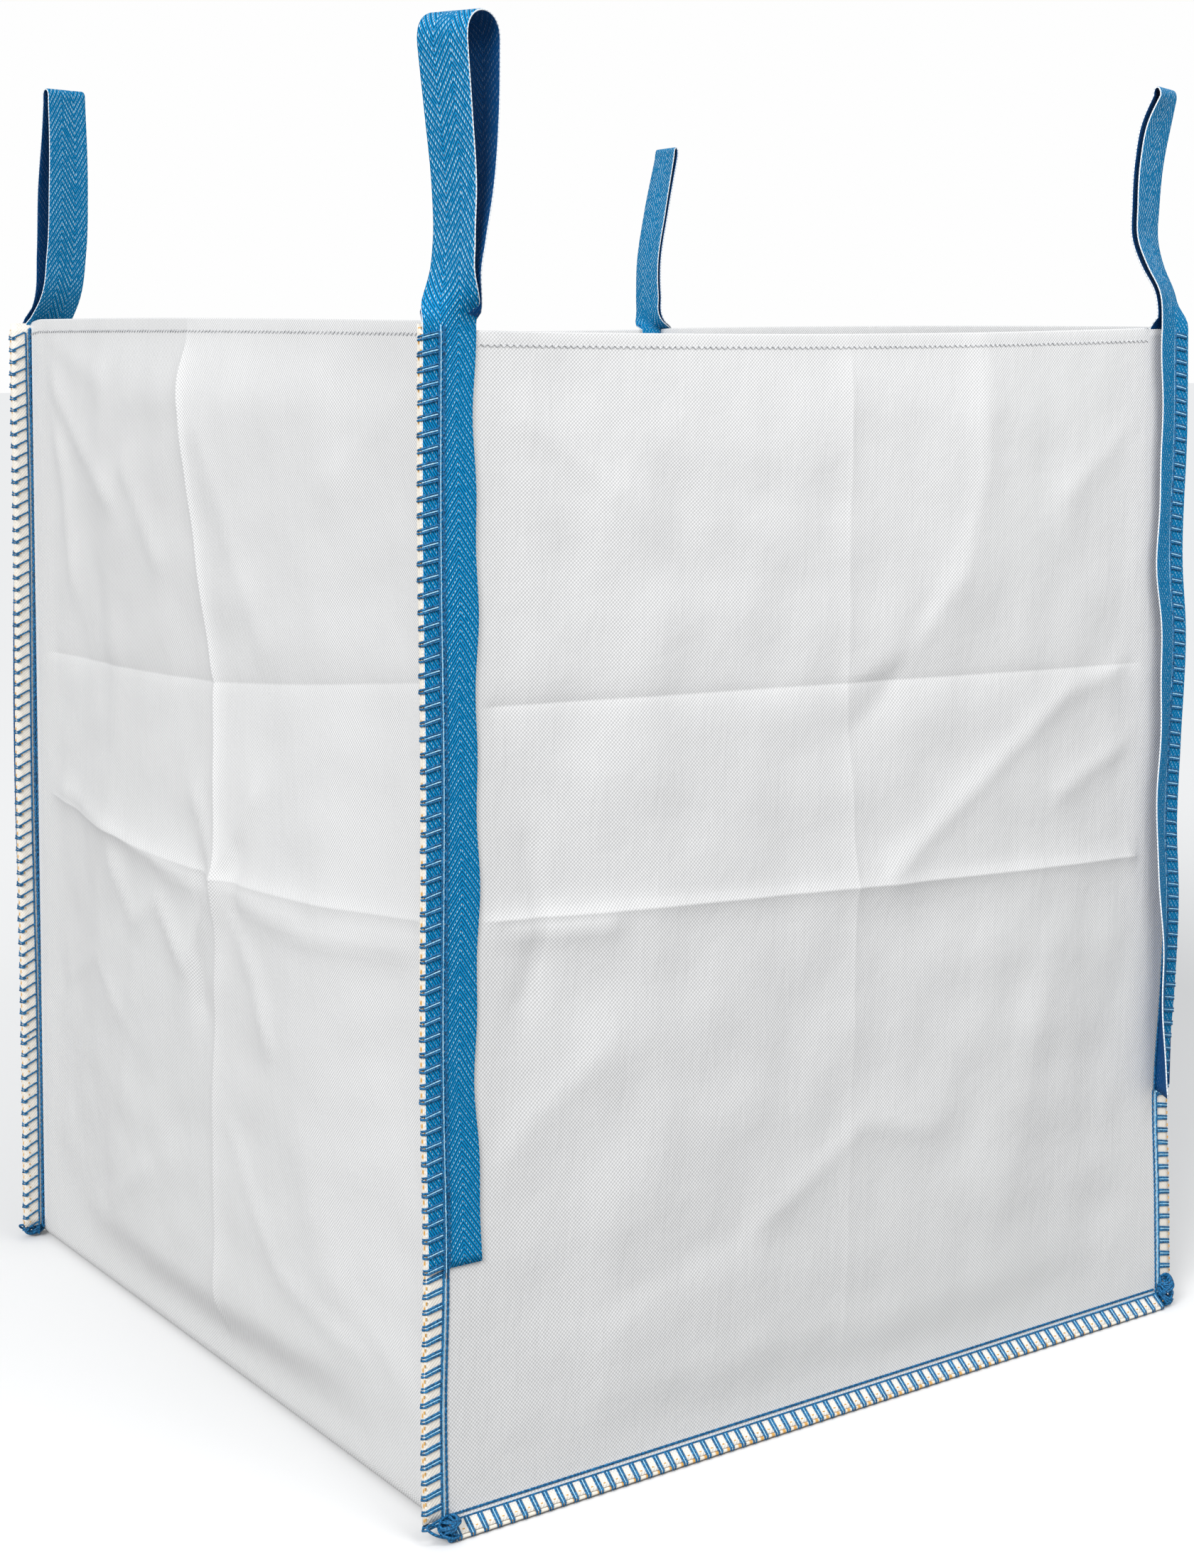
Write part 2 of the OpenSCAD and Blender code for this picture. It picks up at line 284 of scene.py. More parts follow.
# Fine ripples run every way over each wall: how many, how deep, and their range of lengths
RIPPLES = 26
RIPPLE_DEPTH = 0.00016
rng = np.random.default_rng(7)
waves = {side: (rng.uniform(0, math.pi, RIPPLES), rng.uniform(0.055, 0.16, RIPPLES),
    rng.uniform(0, 2 * math.pi, RIPPLES)) for side in CREASES}


def distance_to(run, u, z):
    """Distance of each point of a wall from the line through a crease's points."""
    nearest = np.full(np.shape(u), np.inf)
    for (u0, z0), (u1, z1) in zip(run, run[1:]):
        du, dz = u1 - u0, z1 - z0
        t = np.clip(((u - u0) * du + (z - z0) * dz) / (du * du + dz * dz), 0, 1)
        nearest = np.minimum(nearest, np.hypot(u - u0 - t * du, z - z0 - t * dz))
    return nearest


def bowed(ends, u):
    """A value that goes smoothly through the left end, the middle and the right end of a wall."""
    t = np.clip(np.asarray(u) / WALL, -1, 1)
    return ends[1] * (1 - t * t) + (ends[0] * t * (t - 1) + ends[2] * t * (t + 1)) / 2


def tent(level, low, peak, high):
    """1 at a crease's level, straight down to 0 at its neighbours."""
    return np.clip(np.minimum((level - low) / (peak - low), (high - level) / (high - peak)), 0, 1)


RIM_EASE = 0.03  # the rim's line is held back this near to a corner
RIM_HELD = 0.7  # and this much of it is left at the corner itself
RIM_FROM = 0.8  # the rim's line shows above this height


def folded(side, u, level):
    """Where a point of the flat wall goes, across and up, once the creases run as they do."""
    (low, *low_line), (high, *high_line) = CROSS_CREASES[side]
    z = level + (bowed(low_line, u) - low) * tent(level, 0, low, high)
    z = z + (bowed(high_line, u) - high) * tent(level, low, high, RIM)
    corner = RIM_HELD + (1 - RIM_HELD) * smooth((WALL - np.abs(u)) / RIM_EASE)
    z = z + bowed(RIM_LINE[side], u) * corner * smooth((level - RIM_FROM) / (1 - RIM_FROM))
    sway = np.interp(level, (0, low, high, RIM), WANDER[side])
    return u + sway * np.clip(1 - np.abs(u) / WALL, 0, 1), z


SPINE_REACH = 0.38  # half the width of the middle crease's slopes
SPINE_RIDGE = (0.21, 0.008)  # its sharp ridge: share of its height, and width
QUILT_ROUND = 0.7  # below 1 the swell between creases is blunter
EASE_IN = (0.012, 0.20)  # where the swell starts, and its slope, at a fin
FOOT_EASE = (0.03, 0.06)  # the relief starts above this height, over this
TOP_EASE = 0.08  # at the rim half of it is left, over this depth
CREASE_WIDTH = 0.011
FLAT_EASE = (0.045, 0.010)  # slope of the relief and of a crease at a fin


def relief(side, u, level):
    """How far out of its plane a wall stands at a point of the flat cloth."""
    u, level = np.broadcast_arrays(np.asarray(u, float), np.asarray(level, float))
    across, z = folded(side, u, level)
    levels = np.array([f[0] for f in FACETS[side]])
    ends = [np.interp(level, levels, [f[n] for f in FACETS[side]]) for n in (1, 2, 3)]
    out = bowed(ends, u)
    foot_spine, rim_spine = SPINE[side]
    spine = foot_spine + (rim_spine - foot_spine) * level / RIM
    out = out + spine * np.clip(1 - np.abs(u) / SPINE_REACH, 0, 1)
    quilt = np.abs(np.sin(math.pi * u / WALL)) * np.abs(np.sin(2 * math.pi * level / RIM))
    out = out + PUFF[side] * quilt ** QUILT_ROUND
    inset = WALL - np.abs(u) - SEWN_FLAT
    out = out * smooth((inset + EASE_IN[0]) / EASE_IN[1])
    raised = sunk = 0
    for run, height, reach, ridge in CREASES[side]:
        away = np.hypot(distance_to(run, across, z), ridge) - ridge
        fold = (abs(height) * np.exp(-away / reach)) ** 3
        raised, sunk = (raised + fold, sunk) if height > 0 else (raised, sunk + fold)
    out = out + np.cbrt(raised) - np.cbrt(sunk)
    share, width = SPINE_RIDGE
    out = out + spine * share * np.exp(-np.abs(u) / width) * smooth((RIM - level) / 0.05)
    headings, lengths, starts = waves[side]
    for heading, length, start in zip(headings, lengths, starts):
        phase = (across * math.cos(heading) + z * math.sin(heading)) / length
        out = out + RIPPLE_DEPTH * np.sin(2 * math.pi * phase + start)
    foot = smooth((level - FOOT_EASE[0]) / FOOT_EASE[1])
    top = 0.5 + 0.5 * smooth((RIM - level) / TOP_EASE)
    out = out * smooth(inset / FLAT_EASE[0]) * foot * top
    for (crease, *line), stand in zip(CROSS_CREASES[side], CREASE_STAND[side]):
        out = out + (stand * np.exp(-np.abs(level - crease) / CREASE_WIDTH)
            * smooth(inset / FLAT_EASE[1]))
    return out


# How far each corner's fin strays along X from its straight line: (height, distance)
FIN_STRAY = {
    ("front", 1): ((0.0, 0.0), (0.12, -0.004), (0.24, -0.009), (0.33, -0.002), (0.42, 0.001),
                   (0.50, -0.004), (0.58, -0.001), (0.70, 0.0035), (0.76, -0.0025), (0.90, 0.001),
                   (1.0, 0.0)),
    ("front", -1): ((0.0, 0.0), (0.12, 0.0012), (0.20, -0.0012), (0.40, 0.001), (0.62, -0.001),
                    (0.84, 0.001), (1.0, 0.0)),
    ("back", 1): ((0.0, 0.0), (0.3, 0.002), (0.6, -0.002), (1.0, 0.0)),
    ("back", -1): ((0.0, 0.0), (0.25, -0.001), (0.5, 0.001), (0.8, -0.001), (1.0, 0.0))}


def through(keys, at):
    """Smooth value at a place between keyed places."""
    places = np.array([k[0] for k in keys], float)
    values = np.array([k[1] for k in keys], float)
    slopes = np.gradient(values, places)
    i = np.clip(np.searchsorted(places, at) - 1, 0, len(places) - 2)
    gap = places[i + 1] - places[i]
    t = np.clip((at - places[i]) / gap, 0, 1)
    return (values[i] * (1 + 2 * t) * (1 - t) ** 2 + slopes[i] * gap * t * (1 - t) ** 2
        + values[i + 1] * t * t * (3 - 2 * t) - slopes[i + 1] * gap * t * t * (1 - t))


def stray(sx, sy, z):
    """How far out a corner's fin strays at a height."""
    return through(FIN_STRAY["front" if sy < 0 else "back", sx], z)


# Rows of points this near to a crease, and how far the next even one has to be from it
NEAR_CREASE = (-0.007, -0.0035, -0.0012, 0.0, 0.0012, 0.0035, 0.007)
CREASE_CLEAR = 0.0075


def creased(places, creases):
    """Evenly spaced places with closer ones added at each crease."""
    kept = [p for p in places if all(abs(p - c) > CREASE_CLEAR for c in creases)]
    return np.array(sorted(kept + [c + d for c in creases for d in NEAR_CREASE]))


def sheet_faces(columns, keep, flip):
    """Quads of a grid of points, without those that keep leaves out."""
    r, c = np.nonzero(keep)
    first = r * columns + c
    quads = np.stack([first, first + 1, first + columns + 1, first + columns], axis=1)
    return quads[:, ::-1] if flip else quads


def fix_to_bag(piece, node):
    """Puts a piece on the bag's own body, and hides the CAD node that it stands for."""
    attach(piece, "bag")
    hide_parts(node)


def finish_cloth(piece, node, flat, **lying):
    """Takes out loose points, gives the outer face its solid cloth and puts it on the bag in place
    of its CAD node.
    """
    shape = bmesh.new()
    shape.from_mesh(piece.data)
    bmesh.ops.delete(shape, geom=[v for v in shape.verts if not v.link_faces], context="VERTS")
    shape.to_mesh(piece.data)
    shape.free()
    ply = piece.modifiers.new("ply", "SOLIDIFY")
    ply.thickness = CLOTH
    ply.offset = -1
    ply.use_rim = True
    solid = bpy.data.meshes.new_from_object(
        piece.evaluated_get(bpy.context.evaluated_depsgraph_get()))
    piece.modifiers.clear()
    piece.data = solid
    solid.materials.append(cloth)
    fix_to_bag(piece, node)


# Woven polypropylene: crossing glossy tapes 1.7 mm wide, drawn as a lattice of small pillows,
# milky white with painted shade in the hollows between the tapes, the seam allowances creamier
# where the raw weave shows
TAPE = 0.0017
cloth, tree = new_material("woven_polypropylene")
uv = add(tree, "ShaderNodeUVMap", uv_map="pattern")
turns = add(tree, "ShaderNodeVectorMath", {0: uv, "Scale": math.pi / TAPE}, operation="SCALE")
axes = add(tree, "ShaderNodeSeparateXYZ", {0: turns})
warp = add(tree, "ShaderNodeMath", {0: axes}, operation="SINE")
weft = add(tree, "ShaderNodeMath", {0: axes.outputs[1]}, operation="SINE")
weave = add(tree, "ShaderNodeMath", {0: warp, 1: weft}, operation="MULTIPLY")
place = add(tree, "ShaderNodeTexCoord").outputs["Object"]
clouds = add(tree, "ShaderNodeTexNoise", {"Vector": place, "Scale": 5.0, "Detail": 3.0})
crumple = add(tree, "ShaderNodeTexNoise", {
    "Vector": place, "Scale": 30.0, "Detail": 4.0, "Roughness": 0.5})
pillow = add(tree, "ShaderNodeMapRange", {"Value": weave, "From Min": -1.0, "From Max": 1.0})
white = add(tree, "ShaderNodeMix", {
    0: clouds, 6: tint("#EAEAEA"), 7: tint("#F4F4F4")}, data_type="RGBA")
# Painted shade: the hollows between the tapes are mixed towards grey
gap_shaded = add(tree, "ShaderNodeMix", {
    0: pillow, 6: tint("#C2C2C2"), 7: white.outputs[2]}, data_type="RGBA")
seam = add(tree, "ShaderNodeAttribute", attribute_name="allowance")
raw = add(tree, "ShaderNodeMix", {
    0: seam.outputs["Fac"], 6: gap_shaded.outputs[2], 7: tint("#F0EADF")}, data_type="RGBA")
coarse = add(tree, "ShaderNodeBump", {"Strength": 0.30, "Distance": 0.003, "Height": crumple})
# Fine crinkles run up the cloth, so their noise is drawn out upwards
upright_lines = add(tree, "ShaderNodeVectorMath", {
    0: place, 1: (130.0, 130.0, 22.0)}, operation="MULTIPLY")
streaks = add(tree, "ShaderNodeTexNoise", {
    "Vector": upright_lines, "Scale": 1.0, "Detail": 3.0, "Distortion": 0.6})
crinkled = add(tree, "ShaderNodeBump", {
    "Strength": 0.35, "Distance": 0.0011, "Height": streaks, "Normal": coarse})
fine = add(tree, "ShaderNodeBump", {
    "Strength": 0.4, "Distance": 0.0004, "Height": weave, "Normal": crinkled})
shine = add(tree, "ShaderNodeMapRange", {"Value": clouds, "To Min": 0.46, "To Max": 0.62})
tape = add(tree, "ShaderNodeBsdfPrincipled", {
    "Base Color": raw.outputs[2], "Roughness": shine, "IOR": 1.49, "Specular IOR Level": 0.35,
    "Normal": fine})
add(tree, "ShaderNodeOutputMaterial", {"Surface": tape})

# Rows of points: the hem's inner ply, the fold over the rim, the wall, then the seam allowance
STEP = 0.0074
HEM_INSIDE = 2.6 * CLOTH  # how far in the hem's inner ply lies
FOLD_TURNS = np.linspace(math.pi, 0, 7)
FOLD_R = HEM_INSIDE / 2


def hem_rows():
    """(depth behind the wall's face, height) of the hem and the fold over the rim."""
    hem = [(HEM_INSIDE, RIM - HEM * t) for t in (1.0, 0.72, 0.44)]
    fold = [(FOLD_R - FOLD_R * math.cos(a), RIM - FOLD_R + FOLD_R * math.sin(a))
        for a in FOLD_TURNS]
    return hem + fold


WALL_FOOT = 0.0165  # the wall turns out into the base fin here
FIN_ROWS = (0.002, 0.006, 0.0105, FIN_LENGTH - 0.003)  # rows of points down the base fin
FIN_FOOT = 0.004  # the corner fins reach down to here
FIN_TUCK = 0.06  # and below it this much of their width is left


def fin_place(along, up):
    """(distance out, height) of a point on the base fin."""
    return ROOT + along * FIN_ALONG + up * FIN_UP


def inserted_panel(name, sy):
    """The wall, its hem, its plies in the corner fins and its base fin."""
    side = "front" if sy < 0 else "back"
    outer = np.array([FIN, FIN - 0.006, FIN - 0.012, FIN - 0.017])
    main = np.linspace(-WALL, WALL, round(2 * WALL / STEP))
    main[np.argmin(np.abs(main + STRAP_IN))] = -STRAP_IN
    main[np.argmin(np.abs(main - STRAP_IN))] = STRAP_IN
    main = creased(main, (0.0,))
    x = np.concatenate([-outer, main, outer[::-1]])
    rows = [(-depth, z) for depth, z in hem_rows()]
    walls_from = len(rows) - 1
    heights = creased(np.linspace(WALL_FOOT, rows[-1][1], round(RIM / STEP)),
        [line[0] for line in CROSS_CREASES[side]])[::-1]
    rows += [(0, z) for z in heights[1:]]
    for along in FIN_ROWS:
        out, z = fin_place(along, PLY)
        rows.append((out - PANEL, z))
    out = np.array([r[0] for r in rows])[:, None] + 0 * x
    level = np.array([r[1] for r in rows])[:, None] + 0 * x
    swell = relief(side, x[None, :] + 0 * level, level)
    px, z = folded(side, x[None, :] + 0 * level, level)
    narrow = FIN_TUCK + (1 - FIN_TUCK) * smooth((z - FIN_FOOT) / 0.005)
    over = np.clip(np.abs(x) - WALL, 0, None)
    sway = np.where(x < 0, stray(-1, sy, z), stray(1, sy, z)) / (FIN - WALL)
    px = np.where(over > 0, np.sign(x) * (WALL + over * (narrow + sway)), px)
    points = np.stack([px, sy * (PANEL + out + swell), z], axis=-1)
    length = np.concatenate([[0], np.cumsum(np.hypot(*np.diff(np.array(rows), axis=0).T))])
    keep = np.ones((len(rows) - 1, len(x) - 1), bool)
    middle = (x[1:] + x[:-1]) / 2
    keep[:walls_from, np.abs(middle) > STRAP_IN] = False
    keep[-len(FIN_ROWS):, np.abs(middle) > WALL] = False
    uvs = np.stack([x[None, :] + 0 * z, -length[:, None] + 0 * z], axis=-1)
    allowance = np.maximum(smooth((np.abs(x) - WALL) / 0.002) + 0 * z,
        (np.arange(len(rows)) > len(rows) - len(FIN_ROWS))[:, None] + 0 * z)
    piece = make_piece(name + "_cloth", points.reshape(-1, 3), sheet_faces(len(x), keep, sy < 0),
        uvs.reshape(-1, 2), {"allowance": allowance.ravel()})
    finish_cloth(piece, name, (2 * FIN, float(length[-1])))


inserted_panel("front_panel", -1)
inserted_panel("back_panel", 1)

# The U-shaped length: the same rows down the left wall, round a soft bend, across the base and
# up the right wall, with seam allowances turned out along both edges
U_STEP = 0.0086
BEND_R = 0.014
half_rows = [("wall", -(WALL - depth), z) for depth, z in hem_rows()]
hem_count = len(half_rows) - 1
U_CREASES = [line[0] for line in CROSS_CREASES["left"]]
half_rows += [("wall", -WALL, z) for z in creased(
    np.linspace(BEND_R, half_rows[-1][2], round(RIM / U_STEP)), U_CREASES)[::-1][1:]]
half_rows += [("bend", -WALL + BEND_R * (1 - math.cos(a)), BEND_R - BEND_R * math.sin(a))
    for a in np.linspace(0, math.pi / 2, 7)[1:]]
base_x = np.linspace(-WALL + BEND_R, WALL - BEND_R, round(2 * WALL / U_STEP))
u_rows = half_rows + [("base", x, 0.0) for x in base_x[1:-1]]
u_rows += [(kind, -x, z) for kind, x, z in half_rows[::-1]]
across = creased(np.linspace(-FLANGE_IN, FLANGE_IN, round(2 * WALL / U_STEP)), (0.0,)) / FLANGE_IN
ALLOWANCE = (0.002, 0.008, 0.015, FIN - WALL)  # points across each allowance
BASE_RIPPLE = 0.0011  # the base lies in ripples this deep on the floor
BASE_EASE = (0.15, 0.12)  # and they fade out this near to its edges
fold_up = [(GAP, 0.006), (GAP, 0.0116)]
fold_up += [tuple(fin_place(along, -PLY)) for along in (0.008, FIN_LENGTH - 0.003)]
columns = len(across) + 2 * len(ALLOWANCE)
points = np.zeros((len(u_rows), columns, 3))
uvs = np.zeros((len(u_rows), columns, 2))
travelled = 0.0
for r, (kind, x, z) in enumerate(u_rows):
    edge = {"wall": FLANGE_IN, "bend": (FLANGE_IN + GAP) / 2, "base": GAP}[kind]
    if r:
        travelled += math.hypot(x - u_rows[r - 1][1], z - u_rows[r - 1][2])
    side = -1 if x < 0 else 1
    y = across * edge
    first = len(ALLOWANCE)
    row = points[r, first:-first]
    row[:, 1] = y
    if kind == "base":
        row[:, 0] = x
        fade = (smooth((WALL - abs(x)) / BASE_EASE[0])
                * smooth((GAP - np.abs(y)) / BASE_EASE[1]))
        row[:, 2] = fade * BASE_RIPPLE * (2 + np.sin(x * 31 + y * 17) + np.sin(y * 41 - x * 13))
    else:
        wall = "left" if side < 0 else "right"
        row[:, 0] = x + side * relief(wall, y, z)
        row[:, 1], row[:, 2] = folded(wall, y, z) if kind == "wall" else (y, z)
    uvs[r, first:-first, 0] = y
    for k in range(len(ALLOWANCE)):
        for end, column in ((-1, first - 1 - k), (1, columns - first + k)):
            if kind == "wall":
                out = ALLOWANCE[k] * (1 + float(stray(side, end, z)) / (FIN - WALL))
                points[r, column] = (x + side * out, end * edge, row[0 if end < 0 else -1, 2])
            else:
                points[r, column] = (x, end * fold_up[k][0], fold_up[k][1])
            uvs[r, column, 0] = end * (edge + ALLOWANCE[k])
    uvs[r, :, 1] = travelled
kinds = np.array([kind for kind, x, z in u_rows])
foot_rows = kinds == "bend"
keep = np.ones((len(u_rows) - 1, columns - 1), bool)
no_allowance = foot_rows[1:] | foot_rows[:-1] | (kinds[1:] != kinds[:-1])
no_allowance[:hem_count] = True
no_allowance[-hem_count:] = True
keep[no_allowance, :len(ALLOWANCE)] = False
keep[no_allowance, -len(ALLOWANCE):] = False
allowance = np.zeros(points.shape[:2])
allowance[:, :len(ALLOWANCE)] = 1
allowance[:, -len(ALLOWANCE):] = 1
u_panel = make_piece("u_panel_cloth", points.reshape(-1, 3), sheet_faces(columns, keep, False),
    uvs.reshape(-1, 2), {"allowance": allowance.ravel()})
finish_cloth(u_panel, "u_panel", (2 * FIN, float(travelled)), rests_on=["studio_floor"])

# ---- Hem stitches ----
# Pale zigzag thread that holds the hem down, a few millimetres above its cut edge, on the
# outer face of each wall between the corners.
THREAD_SIDES = 5  # faces round a thread, since stitches are many


def stitch_tree():
    """Geometry nodes that repeat one stitch along a path, as thread of one thickness."""
    tree = bpy.data.node_groups.new("stitch_row", "GeometryNodeTree")
    sockets = [("Path", "NodeSocketGeometry"), ("Stitch", "NodeSocketObject"),
        ("Pitch", "NodeSocketFloat"), ("Thread radius", "NodeSocketFloat"),
        ("Sides", "NodeSocketInt"), ("Slack", "NodeSocketFloat"), ("Seed", "NodeSocketInt"),
        ("Finish", "NodeSocketMaterial")]
    for name, kind in sockets:
        tree.interface.new_socket(name, in_out="INPUT", socket_type=kind)
    tree.interface.new_socket("Row", in_out="OUTPUT", socket_type="NodeSocketGeometry")
    given = add(tree, "NodeGroupInput").outputs
    path = add(tree, "GeometryNodeMeshToCurve", {"Mesh": given["Path"]})
    spots = add(tree, "GeometryNodeCurveToPoints", {
        "Curve": path, "Length": given["Pitch"]}, mode="LENGTH")
    shape = add(tree, "GeometryNodeObjectInfo", {"Object": given["Stitch"]})
    ring = add(tree, "GeometryNodeCurvePrimitiveCircle", {
        "Resolution": given["Sides"], "Radius": given["Thread radius"]})
    thread = add(tree, "GeometryNodeCurveToMesh", {
        "Curve": shape.outputs["Geometry"], "Profile Curve": ring, "Fill Caps": True})
    least = add(tree, "ShaderNodeMath", {0: given["Slack"], 1: -1.0}, operation="MULTIPLY")
    sway = add(tree, "FunctionNodeRandomValue", {
        0: least, 1: given["Slack"], "Seed": given["Seed"]}, data_type="FLOAT_VECTOR")
    grow = add(tree, "ShaderNodeVectorMath", {0: sway, 1: (1.0, 1.0, 1.0)}, operation="ADD")
    laid = add(tree, "GeometryNodeInstanceOnPoints", {
        "Points": spots, "Instance": thread, "Rotation": sway, "Scale": grow})
    real = add(tree, "GeometryNodeRealizeInstances", {0: laid})
    soft = add(tree, "GeometryNodeSetShadeSmooth", {0: real})
    done = add(tree, "GeometryNodeSetMaterial", {0: soft, "Material": given["Finish"]})
    add(tree, "NodeGroupOutput", {0: done})
    return tree


STITCHES = stitch_tree()


def sew(path, threads, pitch, radius, finish, slack, seed):
    """A mesh of one stitch, a few threads through points, repeated on a path, and its finish."""
    line = bpy.data.meshes.new("path")
    line.from_pydata([tuple(p) for p in path], [(i, i + 1) for i in range(len(path) - 1)], [])
    host = bpy.data.objects.new("path", line)
    drawing = bpy.data.curves.new("stitch", "CURVE")
    drawing.dimensions = "3D"
    for run in threads:
        spline = drawing.splines.new("POLY")
        spline.points.add(len(run) - 1)
        for point, place in zip(spline.points, run):
            point.co = (*place, 1)
    stitch = bpy.data.objects.new("stitch", drawing)
    for thing in (host, stitch):
        bpy.context.scene.collection.objects.link(thing)
    row = host.modifiers.new("stitches", "NODES")
    row.node_group = STITCHES
    values = {"Stitch": stitch, "Pitch": pitch, "Thread radius": radius, "Sides": THREAD_SIDES,
              "Slack": slack, "Seed": seed, "Finish": finish}
    for item in STITCHES.interface.items_tree:
        if item.in_out == "INPUT" and item.name in values:
            row[item.identifier] = values[item.name]
    mesh = bpy.data.meshes.new_from_object(
        host.evaluated_get(bpy.context.evaluated_depsgraph_get()))
    for thing in (host, stitch):
        bpy.data.objects.remove(thing)
    return mesh, finish


def join_meshes(name, parts):
    """One object made of several (mesh, finish) parts."""
    finishes = list(dict.fromkeys(finish for mesh, finish in parts))
    whole = bmesh.new()
    for mesh, finish in parts:
        mesh.polygons.foreach_set("material_index", [finishes.index(finish)] * len(mesh.polygons))
        whole.from_mesh(mesh)
        bpy.data.meshes.remove(mesh)
    bmesh.ops.recalc_face_normals(whole, faces=whole.faces)
    joined = bpy.data.meshes.new(name)
    whole.to_mesh(joined)
    whole.free()
    for finish in finishes:
        joined.materials.append(finish)
    piece = bpy.data.objects.new(name, joined)
    bpy.context.scene.collection.objects.link(piece)
    return piece


def stitched(name, parts):
    """Joins rows of stitches into one piece, in place of the CAD's band of thread."""
    fix_to_bag(join_meshes(name + "_stitches", parts), name + "_thread")


def thread_material(name, dark, light, twist_scale):
    """Twisted polyester thread: a satin strand, mixed by noise over its plies between a dark and a
    light tone, as painted shade and painted highlight on its own colour.
    """
    finish, tree = new_material(name)
    place = add(tree, "ShaderNodeTexCoord").outputs["Object"]
    plies = add(tree, "ShaderNodeTexNoise", {"Vector": place, "Scale": twist_scale, "Detail": 2.0})
    spread = add(tree, "ShaderNodeMapRange", {"Value": plies, "From Min": 0.35, "From Max": 0.68})
    # Painted highlight and painted shade: the plies' noise mixes the thread between its dark and
    # light tone
    colour = add(tree, "ShaderNodeMix", {
        0: spread, 6: tint(dark), 7: tint(light)}, data_type="RGBA")
    strands = add(tree, "ShaderNodeBump", {"Strength": 0.5, "Distance": 0.0003, "Height": plies})
    sheen = add(tree, "ShaderNodeBsdfPrincipled", {
        "Base Color": colour.outputs[2], "Roughness": 0.55, "IOR": 1.5, "Specular IOR Level": 0.35,
        "Normal": strands})
    add(tree, "ShaderNodeOutputMaterial", {"Surface": sheen})
    return finish


# White polyester thread; its grey tone, laid in patches by noise, is painted shade
hem_thread = thread_material("white_polyester_thread", "#9C9EA2", "#E4E4E5", 900)
ZIG_PITCH = 0.0062
ZIG_TALL = 0.0026
HEM_THREAD_R = 0.00045
HEM_SIDES = {"front": (0, -1), "right": (1, 0), "back": (0, 1), "left": (-1, 0)}
for number, (side, (ox, oy)) in enumerate(HEM_SIDES.items()):
    low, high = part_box(side + "_hem_thread")
    reach = (high.x if oy else high.y) - 0.004
    z = (low.z + high.z) / 2
    u = np.linspace(-reach, reach, 90)
    lift = relief(side, u, z + 0 * u) + 0.0002
    along, height = folded(side, u, z + 0 * u)
    if oy:
        path = np.stack([along, oy * (PANEL + lift), height], axis=1)
    else:
        path = np.stack([ox * (WALL + lift), along, height], axis=1)
    zigzag = []
    for t, h, rise in ((0, -0.5, 0.2), (0.25, 0, 1), (0.5, 0.5, 0.2), (0.75, 0, 1), (1, -0.5, 0.2)):
        step = (t - 0.5) * ZIG_PITCH
        rise = rise * HEM_THREAD_R
        zigzag.append((step * abs(oy) + ox * rise, step * abs(ox) + oy * rise, h * ZIG_TALL))
    stitched(side + "_hem", [sew(path, [zigzag], ZIG_PITCH, HEM_THREAD_R, hem_thread, 0.04,
                                 number)])

# ---- Lifting loops ----
# Blue herringbone webbing, 50 mm wide. One leg is sewn to the outside of the inserted panel and
# the other between its plies, and above the rim they part, turn and meet in a loop.
CORNERS = {"front_left": (-1, -1), "front_right": (1, -1), "back_right": (1, 1),
           "back_left": (-1, 1)}
WEB_HALF = (leg_high.x - leg_low.x) / 2
WEB_T = leg_high.y - leg_low.y
LEG_END = leg_low.z
OUTSET = 0.0018  # the webbing's edge lies nearly on the fin's edge
SEWN_REACH = 0.016  # the outer part of the webbing is sewn down
ACROSS = np.array([-1, -0.985, -0.95, -0.84, -0.67, -0.5, -0.33, -0.17, 0, 0.17, 0.33, 0.5, 0.67,
    0.84, 0.95, 0.985, 1])
MID = len(ACROSS) // 2
# Thickness of the webbing across its width, which rounds off at the selvedges
EDGE_FULL = np.sqrt(np.clip(1 - np.clip((np.abs(ACROSS) - 0.95) / 0.05, 0, 1) ** 2, 0, 1))
# Each free loop: at each height above the rim its turn in degrees about the upright, how far
# apart its legs are, and how far its middle leans along X and Y, in metres. Then the height of
# its top, and how much of that is the arch
LOOPS = {
    "front_left": ([(0.0, 0, 0.0035, 0, 0), (0.012, -34, 0.0045, 0.001, 0),
                    (0.036, -70, 0.0070, 0.004, -0.001), (0.068, -79, 0.012, 0.009, -0.001),
                    (0.111, -76, 0.0205, 0.0125, -0.001), (0.17, -72, 0.034, 0.0125, 0),
                    (0.226, -68, 0.045, 0.011, 0.002)], 0.2505, 0.022),
    "front_right": ([(0.0, 20, 0.0040, 0.004, -0.003), (0.038, 26, 0.0055, -0.0017, 0.001),
                     (0.060, 24, 0.0065, -0.0106, 0.0072), (0.086, 20, 0.0065, -0.0174, 0.0119),
                     (0.121, 18, 0.0065, -0.0176, 0.012), (0.165, 16, 0.0065, -0.0150, 0.0104),
                     (0.202, 16, 0.007, -0.0096, 0.0066), (0.230, 25, 0.0075, -0.0025, 0.0017)],
                    0.236, 0.008),
    "back_right": ([(0.0, -62, 0.0035, -0.004, 0.003), (0.012, -84, 0.0045, -0.007, 0.005),
                    (0.045, -92, 0.0045, -0.010, 0.004), (0.08, -94, 0.0045, -0.010, 0.004),
                    (0.15, -94, 0.0045, -0.001, 0), (0.22, -98, 0.0055, 0.010, -0.007)],
                   0.229, 0.007),
    "back_left": ([(0.0, 0, 0.0035, 0.013, 0), (0.03, 10, 0.012, 0.019, -0.016),
                   (0.08, 11, 0.020, 0.0235, -0.020), (0.15, 12, 0.021, 0.0255, -0.022),
                   (0.21, 15, 0.013, 0.0270, -0.024), (0.24, 16, 0.009, 0.0275, -0.024)],
                  0.2545, 0.008)}
